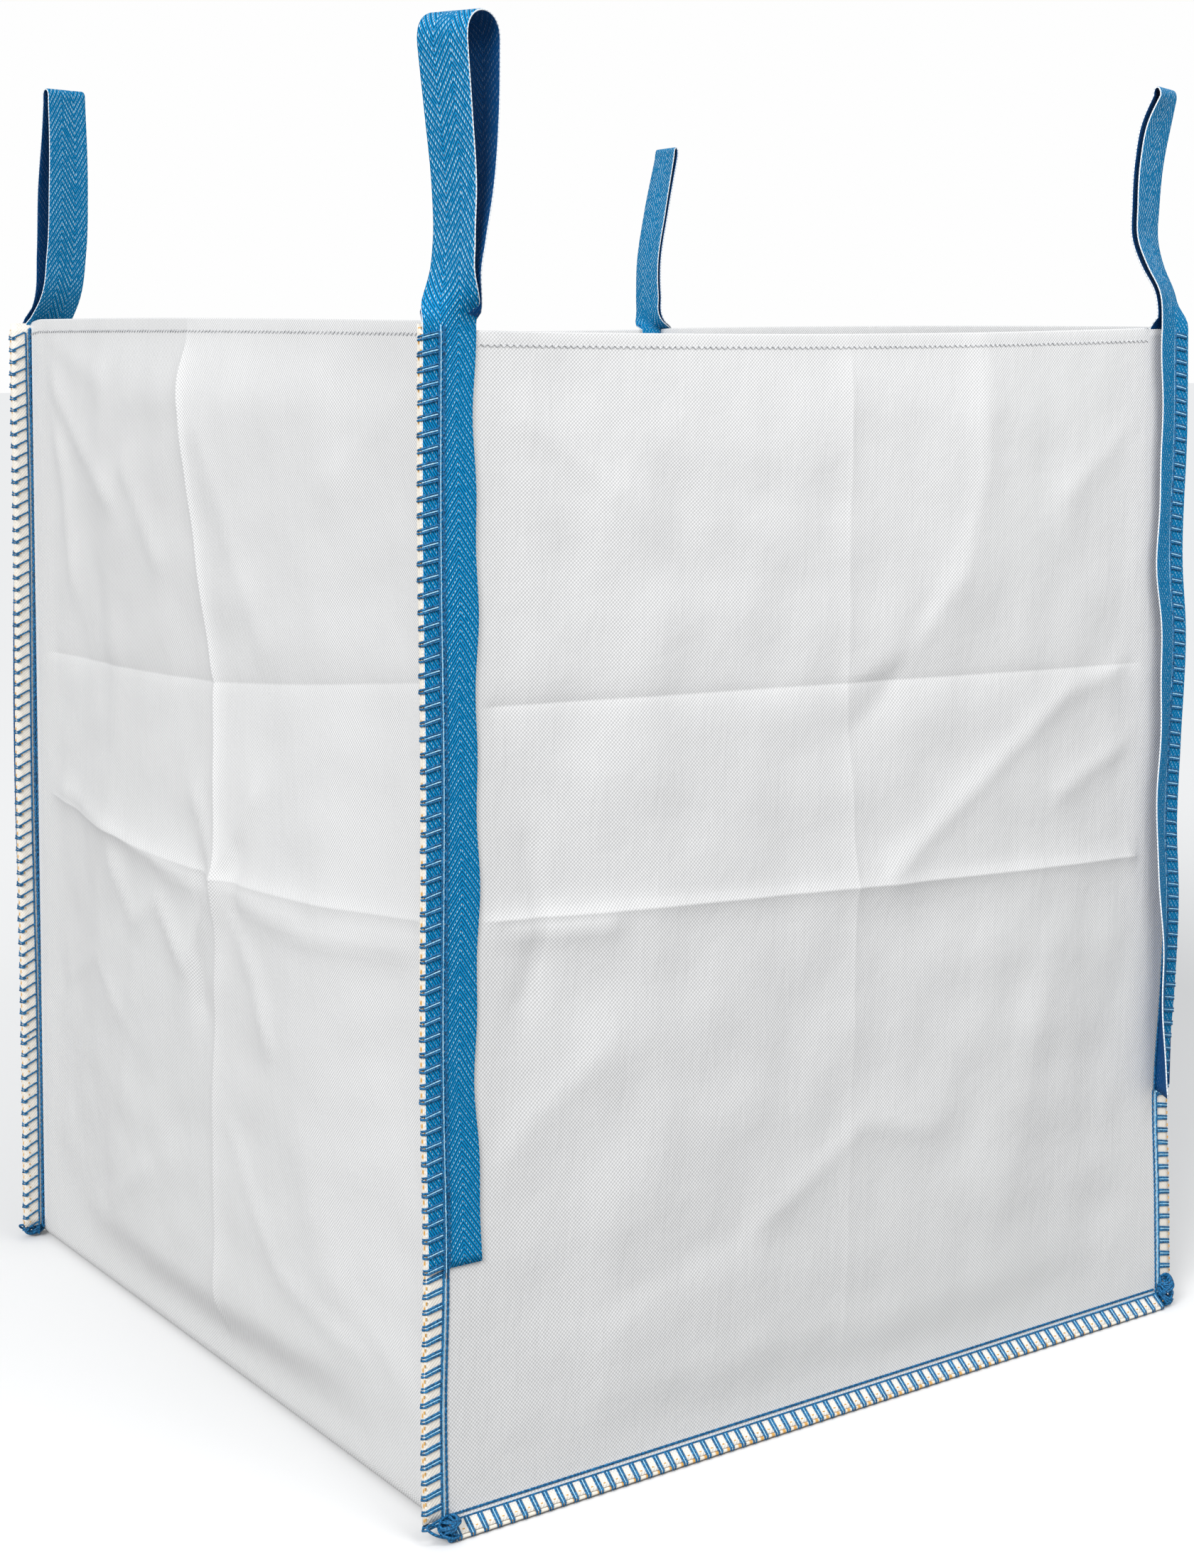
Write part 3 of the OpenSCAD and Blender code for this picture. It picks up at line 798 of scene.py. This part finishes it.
# How far the free part of the outer leg is turned off the panel, in degrees by height
TURNED_OFF = {"front_left": ((0.2, 2.0), (0.5, 0.5), (0.8, 2.5), (1.0, 1.0)),
              "front_right": ((0.2, 72), (0.25, 56), (0.3, 44), (0.4, 35), (0.5, 26), (0.65, 22),
                              (0.8, 17), (1.0, 19)),
              "back_right": ((0.2, 6), (0.6, 2), (1.0, 4)),
              "back_left": ((0.2, 3), (0.6, 9), (1.0, 4))}
# How far further in than its nominal line a corner's webbing is sewn, by height
SET_IN = {"front_left": ((0.2, 0), (1.0, 0)),
          "front_right": ((0.2, 0), (0.4, -0.003), (0.8, -0.005), (1.0, -0.005)),
          "back_right": ((0.2, 0), (1.0, 0)),
          "back_left": ((0.2, 0), (0.8, 0.0005), (0.9, 0.005), (1.0, 0.013))}


def sewn_row(corner, z):
    """The webbing of an outer leg at a height, its free part turned off the panel."""
    sx, sy = CORNERS[corner]
    angle = math.radians(max(through(TURNED_OFF[corner], z), 0))
    waver = 0.0016 * math.sin(z * 23 + sx) + 0.0011 * math.sin(z * 57 + sy)  # not quite straight
    inward = WEB_HALF * (1 - sx * ACROSS)
    free = np.clip(inward - SEWN_REACH, 0, None)
    lifted = free * math.sin(angle) * smooth(free / 0.012)
    edge = STRAP_OUT + OUTSET + float(stray(sx, sy, z)) - float(through(SET_IN[corner], z))
    x = edge - np.minimum(inward, SEWN_REACH) - free * math.cos(angle)
    x = x + waver * smooth(free / 0.03)
    y = PANEL + WEB_T / 2 + lifted
    return np.stack([sx * x, sy * y, z + 0 * x], axis=-1)


def free_row(corner, height, out):
    """The webbing of one leg of the free loop; out is 1 on the outer leg, -1 on the inner."""
    sx, sy = CORNERS[corner]
    keys = LOOPS[corner][0]
    turn, apart, lean_x, lean_y = (
        through([(k[0], k[n]) for k in keys], height) for n in (1, 2, 3, 4))
    turn = math.radians(turn)
    width = np.array((math.cos(turn), math.sin(turn), 0))
    facing = np.array((-math.sin(turn), math.cos(turn), 0))
    middle = np.array((sx * (STRAP_OUT + STRAP_IN) / 2 + lean_x, sy * (PANEL - PLY / 2) + lean_y,
        RIM + height))
    middle = middle + facing * sy * out * apart / 2
    return middle + WEB_HALF * ACROSS[:, None] * width, facing, apart


# Above the rim the outer and the inner leg take the loop's own turn within these heights
SETTLE = {"front_left": (0.026, 0.012), "front_right": (0.026, 0.012),
          "back_right": (0.009, 0.007), "back_left": (0.024, 0.012)}
LEG_ROWS = 98
CLIMB_ROWS = 44


def strap(corner):
    """The whole webbing of a corner, from one cut end to the other."""
    sx, sy = CORNERS[corner]
    top, arch = LOOPS[corner][1:]
    rows = [sewn_row(corner, z) for z in np.linspace(LEG_END, RIM, LEG_ROWS)]
    climb = np.linspace(0, top - arch, CLIMB_ROWS)[1:]
    foot = rows[-1]
    for height in climb:
        part = smooth(height / SETTLE[corner][0])
        free = free_row(corner, height, 1)[0]
        rows.append(part * free + (1 - part) * (foot + np.array((0, 0, height))))
    start, facing, apart = free_row(corner, top - arch, 0)
    for a in np.linspace(0, math.pi, 21)[1:-1]:
        rows.append(start + facing * sy * apart / 2 * math.cos(a)
            + np.array((0, 0, arch * math.sin(a) ** 0.85)))
    across = sx * (STRAP_OUT + STRAP_IN) / 2 + WEB_HALF * ACROSS
    inner = []
    for z in np.linspace(RIM, LEG_END, LEG_ROWS):
        x = across - sx * through(SET_IN[corner], z)
        inner.append(np.stack([x, sy * (GAP - WEB_T / 2) + 0 * x, z + 0 * x], axis=-1))
    for height in climb[::-1]:
        part = smooth(height / SETTLE[corner][1])
        free = free_row(corner, height, -1)[0]
        rows.append(part * free + (1 - part) * (inner[0] + np.array((0, 0, height))))
    return np.array(rows + inner)


def webbing_mesh(name, grid):
    """Closed webbing of full thickness with rounded edges round a middle surface."""
    along = np.gradient(grid, axis=0)
    width = np.gradient(grid, axis=1)
    normal = np.cross(along, width)
    normal /= np.linalg.norm(normal, axis=2, keepdims=True)
    half = (WEB_T / 2 - 0.0001) * EDGE_FULL[None, :, None]
    front = grid + normal * half
    back = (grid - normal * half)[:, -2:0:-1]
    ring = np.concatenate([front, back], axis=1)
    count = ring.shape[1]
    length = np.concatenate([[0], np.cumsum(np.linalg.norm(np.diff(grid[:, MID], axis=0), axis=1))])
    place = np.concatenate([ACROSS, ACROSS[-2:0:-1]]) * WEB_HALF
    uvs = np.stack([np.broadcast_to(place, ring.shape[:2]),
        np.broadcast_to(length[:, None], ring.shape[:2])], axis=-1)
    r, c = np.meshgrid(np.arange(len(grid) - 1), np.arange(count), indexing="ij")
    first = (r * count + c).ravel()
    after = (r * count + (c + 1) % count).ravel()
    faces = np.stack([first, after, after + count, first + count], axis=1).tolist()
    last = (len(grid) - 1) * count
    faces.append(list(range(count)))
    faces.append([last + i for i in range(count)][::-1])
    # Painted shade: the face of the webbing turned into the loop is marked, for the webbing
    # material to darken it
    top = np.argmax(grid[:, MID, 2])
    shaded_face = np.zeros(ring.shape[:2])
    edge = front.shape[1]
    shaded_face[:, slice(edge, None) if normal[top, MID, 2] > 0 else slice(edge)] = 1
    piece = make_piece(name, ring.reshape(-1, 3), faces, uvs.reshape(-1, 2),
        {"inside": shaded_face.ravel()})
    shape = bmesh.new()
    shape.from_mesh(piece.data)
    bmesh.ops.recalc_face_normals(shape, faces=shape.faces)
    shape.to_mesh(piece.data)
    shape.free()
    return piece


# Herringbone polypropylene webbing: blue yarns in steep twill lines that turn back every 16 mm
# or so across the width, with flecks where the white binder yarn comes up between them. Above
# the rim the flecks grow denser as painted light on the loops, and the face turned into the loop
# is painted shade, darker and with hardly any flecks. Each selvedge has a thin white line.
TWILL = 0.0075  # from one pair of twill lines to the next
CHEVRON = 0.0165  # width of a band of lines that lean one way
STEEP = 1.5  # rise of a line for its run across
BINDER = 0.0018  # from one binder yarn to the next
SELVEDGE = WEB_HALF - 0.0005
webbing, tree = new_material("herringbone_webbing")
uv = add(tree, "ShaderNodeUVMap", uv_map="pattern")
axes = add(tree, "ShaderNodeSeparateXYZ", {0: uv})
moved = add(tree, "ShaderNodeMath", {0: axes, 1: CHEVRON / 2}, operation="SUBTRACT")
saw = add(tree, "ShaderNodeMath", {0: moved, 1: CHEVRON}, operation="PINGPONG")
lean = add(tree, "ShaderNodeMath", {0: saw, 1: STEEP, 2: axes.outputs[1]}, operation="MULTIPLY_ADD")
phase = add(tree, "ShaderNodeMath", {0: lean, 1: 2 * math.pi / TWILL}, operation="MULTIPLY")
rows = add(tree, "ShaderNodeMath", {0: phase}, operation="SINE")
doubled = add(tree, "ShaderNodeMath", {0: phase, 1: 2.0, 2: 1.0}, operation="MULTIPLY_ADD")
ridges = add(tree, "ShaderNodeMath", {0: doubled}, operation="SINE")
yarns = add(tree, "ShaderNodeMath", {0: axes, 1: 2 * math.pi / BINDER}, operation="MULTIPLY")
yarn = add(tree, "ShaderNodeMath", {0: yarns}, operation="SINE")
place = add(tree, "ShaderNodeTexCoord").outputs["Object"]
height = add(tree, "ShaderNodeSeparateXYZ", {0: place})
fibres = add(tree, "ShaderNodeTexNoise", {"Vector": place, "Scale": 210.0, "Detail": 3.0})
# Painted light: over the first 5 cm above the rim the threshold drops, so the loops show more white
# flecks and look brighter
lit_loop_threshold = add(tree, "ShaderNodeMapRange", {
    "Value": height.outputs[2], "From Min": RIM, "From Max": RIM + 0.05, "To Min": 0.78,
    "To Max": 0.42})
raised = add(tree, "ShaderNodeMath", {0: rows, 1: lit_loop_threshold}, operation="SUBTRACT")
along_row = add(tree, "ShaderNodeMapRange", {"Value": raised, "From Min": 0.0, "From Max": 0.22})
in_yarn = add(tree, "ShaderNodeMapRange", {"Value": yarn, "From Min": -0.1, "From Max": 0.5})
fleck = add(tree, "ShaderNodeMath", {0: along_row, 1: in_yarn}, operation="MULTIPLY")
patchy = add(tree, "ShaderNodeMapRange", {"Value": fibres, "From Min": 0.36, "From Max": 0.56})
shown = add(tree, "ShaderNodeMath", {0: fleck, 1: patchy}, operation="MULTIPLY")
# Painted shade on the face inside the loop: darker blue #00477F, and its flecks cut to 0.15
inside = add(tree, "ShaderNodeAttribute", attribute_name="inside")
fleck_share_by_shade = add(tree, "ShaderNodeMapRange", {
    "Value": inside.outputs["Fac"], "To Min": 0.90, "To Max": 0.15})
white = add(tree, "ShaderNodeMath", {0: shown, 1: fleck_share_by_shade}, operation="MULTIPLY")
tone = add(tree, "ShaderNodeMapRange", {"Value": ridges, "From Min": -1.0, "From Max": 1.0})
blue = add(tree, "ShaderNodeMix", {
    0: tone, 6: tint("#00446F"), 7: tint("#0898D6")}, data_type="RGBA")
shaded = add(tree, "ShaderNodeMix", {
    0: inside.outputs["Fac"], 6: blue.outputs[2], 7: tint("#00477F")}, data_type="RGBA")
flecked = add(tree, "ShaderNodeMix", {
    0: white, 6: shaded.outputs[2], 7: tint("#DDF2FB")}, data_type="RGBA")
away = add(tree, "ShaderNodeMath", {0: axes}, operation="ABSOLUTE")
selvedge = add(tree, "ShaderNodeMapRange", {
    "Value": away, "From Min": SELVEDGE, "From Max": SELVEDGE + 0.0002})
edged = add(tree, "ShaderNodeMix", {
    0: selvedge, 6: flecked.outputs[2], 7: tint("#E9EEF2")}, data_type="RGBA")
rise = add(tree, "ShaderNodeBump", {"Strength": 0.6, "Distance": 0.0006, "Height": shown})
twill = add(tree, "ShaderNodeBump", {
    "Strength": 0.6, "Distance": 0.0005, "Height": ridges, "Normal": rise})
yarn_shader = add(tree, "ShaderNodeBsdfPrincipled", {
    "Base Color": edged.outputs[2], "Roughness": 0.65, "IOR": 1.49, "Specular IOR Level": 0.12,
    "Normal": twill})
add(tree, "ShaderNodeOutputMaterial", {"Surface": yarn_shader})

for corner, (sx, sy) in CORNERS.items():
    piece = webbing_mesh(corner + "_strap", strap(corner))
    piece.data.materials.append(webbing)
    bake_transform(piece)
    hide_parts(corner + "_loop", corner + "_loop_outer_leg", corner + "_loop_inner_leg")

# ---- Corner seams ----
# Each corner's plies and both webbing legs stand out as a fin, closed over a cream filler cord
# by blue overlock stitches, with a row of chain stitches beside them on both faces.
blue_thread = thread_material("blue_polyester_thread", "#06375A", "#2280BA", 700)
# Painted highlight: strands of pale blue laid between and beside the blue threads of the overlock
# stitches
highlight_thread = thread_material("pale_blue_highlight_strand", "#5FB0DC", "#BFE4F5", 700)
amber_thread = thread_material("amber_marker_thread", "#C98A2B", "#EDBE66", 700)
OVERLOCK_PITCH = 0.0128
THREAD_R = 0.00095
CHAIN_R = 0.0007
CORD_R = 0.0016
CORD_SIDES = 8
MARK_R = 0.0006  # amber marker thread, seen as a dot in each stitch
NEEDLE = FIN - SEWN_REACH  # needle line of the overlock stitches
CHAIN_AT = WALL + 0.001
CHAIN_PITCH = 0.0064


def tube(points, radius, sides):
    """Closed tube along points, and the place along it of each of its points."""
    points = np.asarray(points, float)
    way = np.gradient(points, axis=0)
    way /= np.linalg.norm(way, axis=1, keepdims=True)
    side = np.cross(way[0], (0.3, 0.9, 0.2))
    rings = []
    turn = 2 * math.pi * np.arange(sides) / sides
    for p, t in zip(points, way):
        side = side - t * np.dot(side, t)
        side /= np.linalg.norm(side)
        rings.append(p + radius * (
            np.cos(turn)[:, None] * side + np.sin(turn)[:, None] * np.cross(t, side)))
    count = len(points)
    faces = []
    for r in range(count - 1):
        for c in range(sides):
            d = (c + 1) % sides
            faces.append([r * sides + c, r * sides + d, (r + 1) * sides + d, (r + 1) * sides + c])
    faces.append(list(range(sides))[::-1])
    faces.append([(count - 1) * sides + c for c in range(sides)])
    length = np.concatenate([[0], np.cumsum(np.linalg.norm(np.diff(points, axis=0), axis=1))])
    return np.concatenate(rings), faces, np.repeat(length, sides)


# Soft spun filler cord, cream, that shows amber between the stitches
cord, tree = new_material("cream_filler_cord")
uv = add(tree, "ShaderNodeUVMap", uv_map="pattern")
axes = add(tree, "ShaderNodeSeparateXYZ", {0: uv})
bay = add(tree, "ShaderNodeMath", {
    0: axes.outputs[1], 1: 2 * math.pi / OVERLOCK_PITCH}, operation="MULTIPLY")
beat = add(tree, "ShaderNodeMath", {0: bay}, operation="SINE")
amber = add(tree, "ShaderNodeMapRange", {"Value": beat, "From Min": 0.35, "From Max": 0.9})
place = add(tree, "ShaderNodeTexCoord").outputs["Object"]
spun = add(tree, "ShaderNodeTexNoise", {"Vector": place, "Scale": 500.0, "Detail": 3.0})
hue = add(tree, "ShaderNodeMix", {
    0: amber, 6: tint("#EDE6D8"), 7: tint("#D9A24A")}, data_type="RGBA")
fluff = add(tree, "ShaderNodeBump", {"Strength": 0.6, "Distance": 0.0005, "Height": spun})
yarn_shader = add(tree, "ShaderNodeBsdfPrincipled", {
    "Base Color": hue.outputs[2], "Roughness": 0.8, "Sheen Weight": 0.3, "Normal": fluff})
add(tree, "ShaderNodeOutputMaterial", {"Surface": yarn_shader})


def at_seam(runs, sx, sy):
    """Threads drawn at the front of a seam, moved to a corner and measured from its path."""
    return [[(sx * (x - NEEDLE), sy * (y - PANEL), z) for x, y, z in run] for run in runs]


def overlock_stitch(face, back):
    """Two threads side by side over the fin's edge, and the needle lines they hang from."""
    f = face + THREAD_R * 0.7
    b = back - THREAD_R * 0.7
    m = (face + back) / 2
    edge = FIN + THREAD_R
    return [
        [(NEEDLE, f - 0.0006, 0.0020), (NEEDLE + 0.001, f, 0.0017), (NEEDLE + 0.008, f, 0.0003),
         (FIN - 0.001, f, -0.0014), (edge, m, -0.0026), (FIN - 0.001, b, -0.0038),
         (NEEDLE + 0.008, b, -0.0010), (NEEDLE + 0.0016, b, 0.0018),
         (NEEDLE, b + 0.0006, 0.0010)],
        [(NEEDLE, f - 0.0006, -0.0018), (NEEDLE + 0.001, f, -0.0020),
         (NEEDLE + 0.008, f, -0.0031), (FIN - 0.001, f, -0.0045), (edge + 0.0005, m, -0.0052),
         (FIN - 0.001, b - 0.0002, -0.0054), (FIN - 0.004, b, -0.0046)],
        [(NEEDLE, f - 0.0005, -0.0112), (NEEDLE, f, -0.0098), (NEEDLE, f, 0.0012),
         (NEEDLE, f - 0.0005, 0.0024)],
        [(NEEDLE, b + 0.0004, -0.0118), (NEEDLE, b, -0.0104), (NEEDLE, b, 0.0004),
         (NEEDLE, b + 0.0004, 0.0016)]]


def highlight_strand(face):
    """Painted highlight: pale strands that stand for the light on the threads, one between the two
    on the outer face and one beside the needle line.
    """
    f = face + THREAD_R * 0.8
    half = OVERLOCK_PITCH / 2
    return [[(NEEDLE + 0.0012, f, -0.0001), (NEEDLE + 0.008, f, -0.0014),
        (FIN - 0.0006, f - 0.0002, -0.0030)],
        [(NEEDLE - 0.0018, f - 0.0003, -half - 0.0004),
        (NEEDLE - 0.0018, f - 0.0003, half + 0.0004)]]


def chain_stitch(wide):
    """One link of a chain stitch."""
    half = CHAIN_PITCH / 2
    link = [(0, -half - 0.0012), (wide, -half * 0.5), (wide * 0.8, half * 0.7), (0, half),
        (-wide * 0.8, half * 0.7), (-wide, -half * 0.5), (0, -half - 0.0010)]
    return [[(NEEDLE + x, PANEL + 0.0003 * math.cos(7 * z / half), z) for x, z in link]]


def up_seam(at, y, sx, sy, z0, z1):
    """The path of a row of stitches up a corner, along its fin."""
    heights = np.linspace(z0, z1, 80)
    return np.stack([sx * (at + stray(sx, sy, heights)), sy * y + 0 * heights, heights], axis=1)


def filler(name, line, path, marks, slack, seed):
    """Filler cord along a line, with dots of amber marker thread along the seam's path."""
    spots, faces, length = tube(line, CORD_R, CORD_SIDES)
    core = make_piece("core", spots, faces, np.stack([0 * length, length], axis=1))
    dots = sew(path, marks, OVERLOCK_PITCH, MARK_R, amber_thread, slack, seed)
    piece = join_meshes(name + "_filler", [(core.data, cord), dots])
    fix_to_bag(piece, name + "_filler_cord")


SEAM_FOOT = 0.016  # the corner seams start above the tack
COVER = 0.004  # stitches keep this clear of the webbing's end
for number, (corner, (sx, sy)) in enumerate(CORNERS.items()):
    parts = []
    for face, low, high in ((PANEL, SEAM_FOOT, LEG_END - COVER),
                            (STRAP_FACE, LEG_END + COVER, RIM - 0.006)):
        path = up_seam(NEEDLE, PANEL, sx, sy, low, high)
        for runs, thick, finish in ((overlock_stitch(face, FLANGE_IN), THREAD_R, blue_thread),
                                    (highlight_strand(face), THREAD_R * 0.8, highlight_thread)):
            parts.append(sew(path, at_seam(runs, sx, sy), OVERLOCK_PITCH, thick, finish, 0.02,
                             number))
    stitched(corner + "_overlock", parts)

    # Each chain row: its face, where it starts and ends, half its width and its thread's radius
    parts = []
    for y, low, high, wide, thick in (
            (PANEL + 0.0004, SEAM_FOOT, LEG_END - COVER, 0.0006, CHAIN_R),
            (STRAP_FACE + 0.0004, LEG_END + COVER, RIM - 0.003, 0.0006, CHAIN_R),
            (FLANGE_IN - 0.0011, SEAM_FOOT, RIM - 0.003, 0.0014, 0.0013)):
        path = up_seam(CHAIN_AT, y, sx, sy, low, high)
        parts.append(sew(path, at_seam(chain_stitch(wide), sx, sy), CHAIN_PITCH, thick,
                         blue_thread, 0.02, number))
    stitched(corner + "_chain", parts)

    heights = np.linspace(SEAM_FOOT, RIM - 0.001, 240)
    wobble = 0.00035 * np.sin(heights * 2 * math.pi / OVERLOCK_PITCH)
    x = FIN - 0.0013 + wobble + stray(sx, sy, heights)
    line = np.stack([sx * x, sy * ((GAP + FLANGE) / 2) + 0 * heights, heights], axis=1)
    marks = [[(FIN - 0.0003, PANEL + 0.0001, 0.0035), (FIN - 0.0003, PANEL + 0.0001, 0.0061)],
             [(FIN - 0.006, FLANGE_IN - 0.0002, 0.0025), (FIN - 0.006, FLANGE_IN - 0.0002, 0.0042)]]
    filler(corner, line, up_seam(NEEDLE, PANEL, sx, sy, SEAM_FOOT, RIM - 0.012),
           at_seam(marks, sx, sy), 0.01, number)

# ---- Base seams ----
# The inserted panel and the base meet in a fin that slopes down to the floor, overlocked in the
# same blue thread over the same cream cord, with chain stitches just above it.
BASE_THREAD_R = 0.0009


def fin_thread(run, sy):
    """Points given as along the seam, down the fin and up from it, as places on the fin."""
    places = []
    for x, along, up in run:
        out, z = fin_place(along, up)
        places.append((x, sy * out, max(z, BASE_THREAD_R)))
    return places


for side, sy in (("front", -1), ("back", 1)):
    top = PLY + BASE_THREAD_R * 0.7
    under = -PLY - BASE_THREAD_R * 0.7
    inner = FIN_LENGTH - SEWN_REACH
    end = FIN_LENGTH + BASE_THREAD_R * 0.5
    half = OVERLOCK_PITCH / 2
    runs = [[(x, inner, top - 0.0006), (x, inner + 0.001, top), (x, inner + 0.008, top),
        (x * 0.9, FIN_LENGTH - 0.001, top), (x * 0.7, end, 0.0003),
        (x * 0.6, FIN_LENGTH - 0.002, under), (x * 0.6, FIN_LENGTH - 0.006, under)]
        for x in (0.0018, -0.0018)]
    runs.append([(-half - 0.0006, inner, top - 0.0004), (-half + 0.0008, inner, top),
        (half - 0.0008, inner, top), (half + 0.0006, inner, top - 0.0004)])
    # Painted highlight: pale strands between each pair of threads and along the needle line
    strands = [[(0, inner + 0.001, top), (0, inner + 0.008, top),
        (0, FIN_LENGTH - 0.001, top - 0.0002)],
        [(-half - 0.0004, inner - 0.0016, top - 0.0003),
        (half + 0.0004, inner - 0.0016, top - 0.0003)],
        [(-half - 0.0004, inner - 0.0030, top - 0.0004),
        (half + 0.0004, inner - 0.0030, top - 0.0004)]]
    path = [(-WALL + 0.003, 0, 0), (WALL - 0.003, 0, 0)]
    parts = []
    for drawn, thick, finish in ((runs, BASE_THREAD_R, blue_thread),
                                 (strands, BASE_THREAD_R * 0.75, highlight_thread)):
        threads = [fin_thread(run, sy) for run in drawn]
        parts.append(sew(path, threads, OVERLOCK_PITCH, thick, finish, 0.0, 3))
    stitched(side + "_base_overlock", parts)

    low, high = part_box(side + "_base_chain_thread")
    z = (low.z + high.z) / 2
    link = [(along, sy * (PANEL + 0.0005), z + across - NEEDLE)
            for across, y, along in chain_stitch(0.0006)[0]]
    stitched(side + "_base_chain", [sew([(-WALL + 0.006, 0, 0), (WALL - 0.006, 0, 0)], [link],
                                        CHAIN_PITCH, CHAIN_R, blue_thread, 0.0, 4)])

    out, z = fin_place(FIN_LENGTH - 0.0014, 0)
    x = np.linspace(-WALL, WALL, 210)
    line = np.stack([x, sy * out + 0 * x, z + 0 * x], axis=1)
    mark = [(half - 0.001, 0.0112, PLY + 0.0001), (half + 0.001, 0.0112, PLY + 0.0001)]
    filler(side + "_base", line, path, [fin_thread(mark, sy)], 0.0, 5)

# ---- Corner tacks ----
# At the foot of each corner the spare thread of the seams is wound and knotted over the fin, so
# that nothing runs loose.
TACK_R = 0.0012
TACK_SIDES = 7
TACK_FLOOR = TACK_R + 0.0002  # the middle of its thread stays above this
# Each tack: half its size along X, Y and Z, how far its middle is outside the corner along X
# and Y, how many turns are wound on it, and how far its loose loop reaches out
TACKS = {"front_left": ((0.0100, 0.0085, 0.0105), (0.003, 0.0075), 11, 0.016),
         "front_right": ((0.0075, 0.0090, 0.0165), (0.009, 0.0060), 15, 0.006),
         "back_right": ((0.0110, 0.0085, 0.0100), (0.006, 0.0040), 10, 0.012),
         "back_left": ((0.0115, 0.0085, 0.0100), (0.008, 0.0040), 10, 0.014)}
for number, (corner, (sx, sy)) in enumerate(CORNERS.items()):
    size, (out_x, out_y), turns, reach = TACKS[corner]
    middle = np.array((sx * (WALL + out_x), sy * (PANEL + out_y), size[2] + TACK_R))
    # Turns round three axes at speeds that do not match, so that the windings cross one another
    t = np.linspace(0, 2 * math.pi, 460)
    wound = np.stack([np.sin(turns * t + number) * np.cos(1.7 * t),
        np.cos(turns * t + number) * (0.75 + 0.25 * np.sin(5 * t)),
        np.sin((turns - 2) * t * 0.51 + 1) * (0.8 + 0.2 * np.cos(4 * t))], axis=1)
    wound /= np.maximum(np.linalg.norm(wound, axis=1, keepdims=True), 0.82)
    knot = middle + wound * np.array(size)
    knot[:, 2] = np.maximum(knot[:, 2], TACK_FLOOR)
    swing = 2 * math.pi * np.linspace(0, 1, 60)
    loop = np.stack([middle[0] + sx * (reach * (1 - np.cos(swing)) / 1.6 + 0.002 * np.sin(swing)),
        middle[1] - sy * (0.002 + 0.004 * np.sin(swing)),
        TACK_R + 0.003 + 0.0022 * (1 - np.cos(swing)) + 0.006 * np.sin(swing / 2)], axis=1)
    loop[:, 2] = np.maximum(loop[:, 2] + 0.004 * np.sin(swing), TACK_FLOOR)
    parts = []
    for line in (knot, loop):
        spots, faces, length = tube(line, TACK_R, TACK_SIDES)
        part = make_piece("tack_part", spots, faces)
        parts.append((part.data, blue_thread))
        bpy.data.objects.remove(part)
    fix_to_bag(join_meshes(corner + "_tack_knot", parts), corner + "_corner_tack")
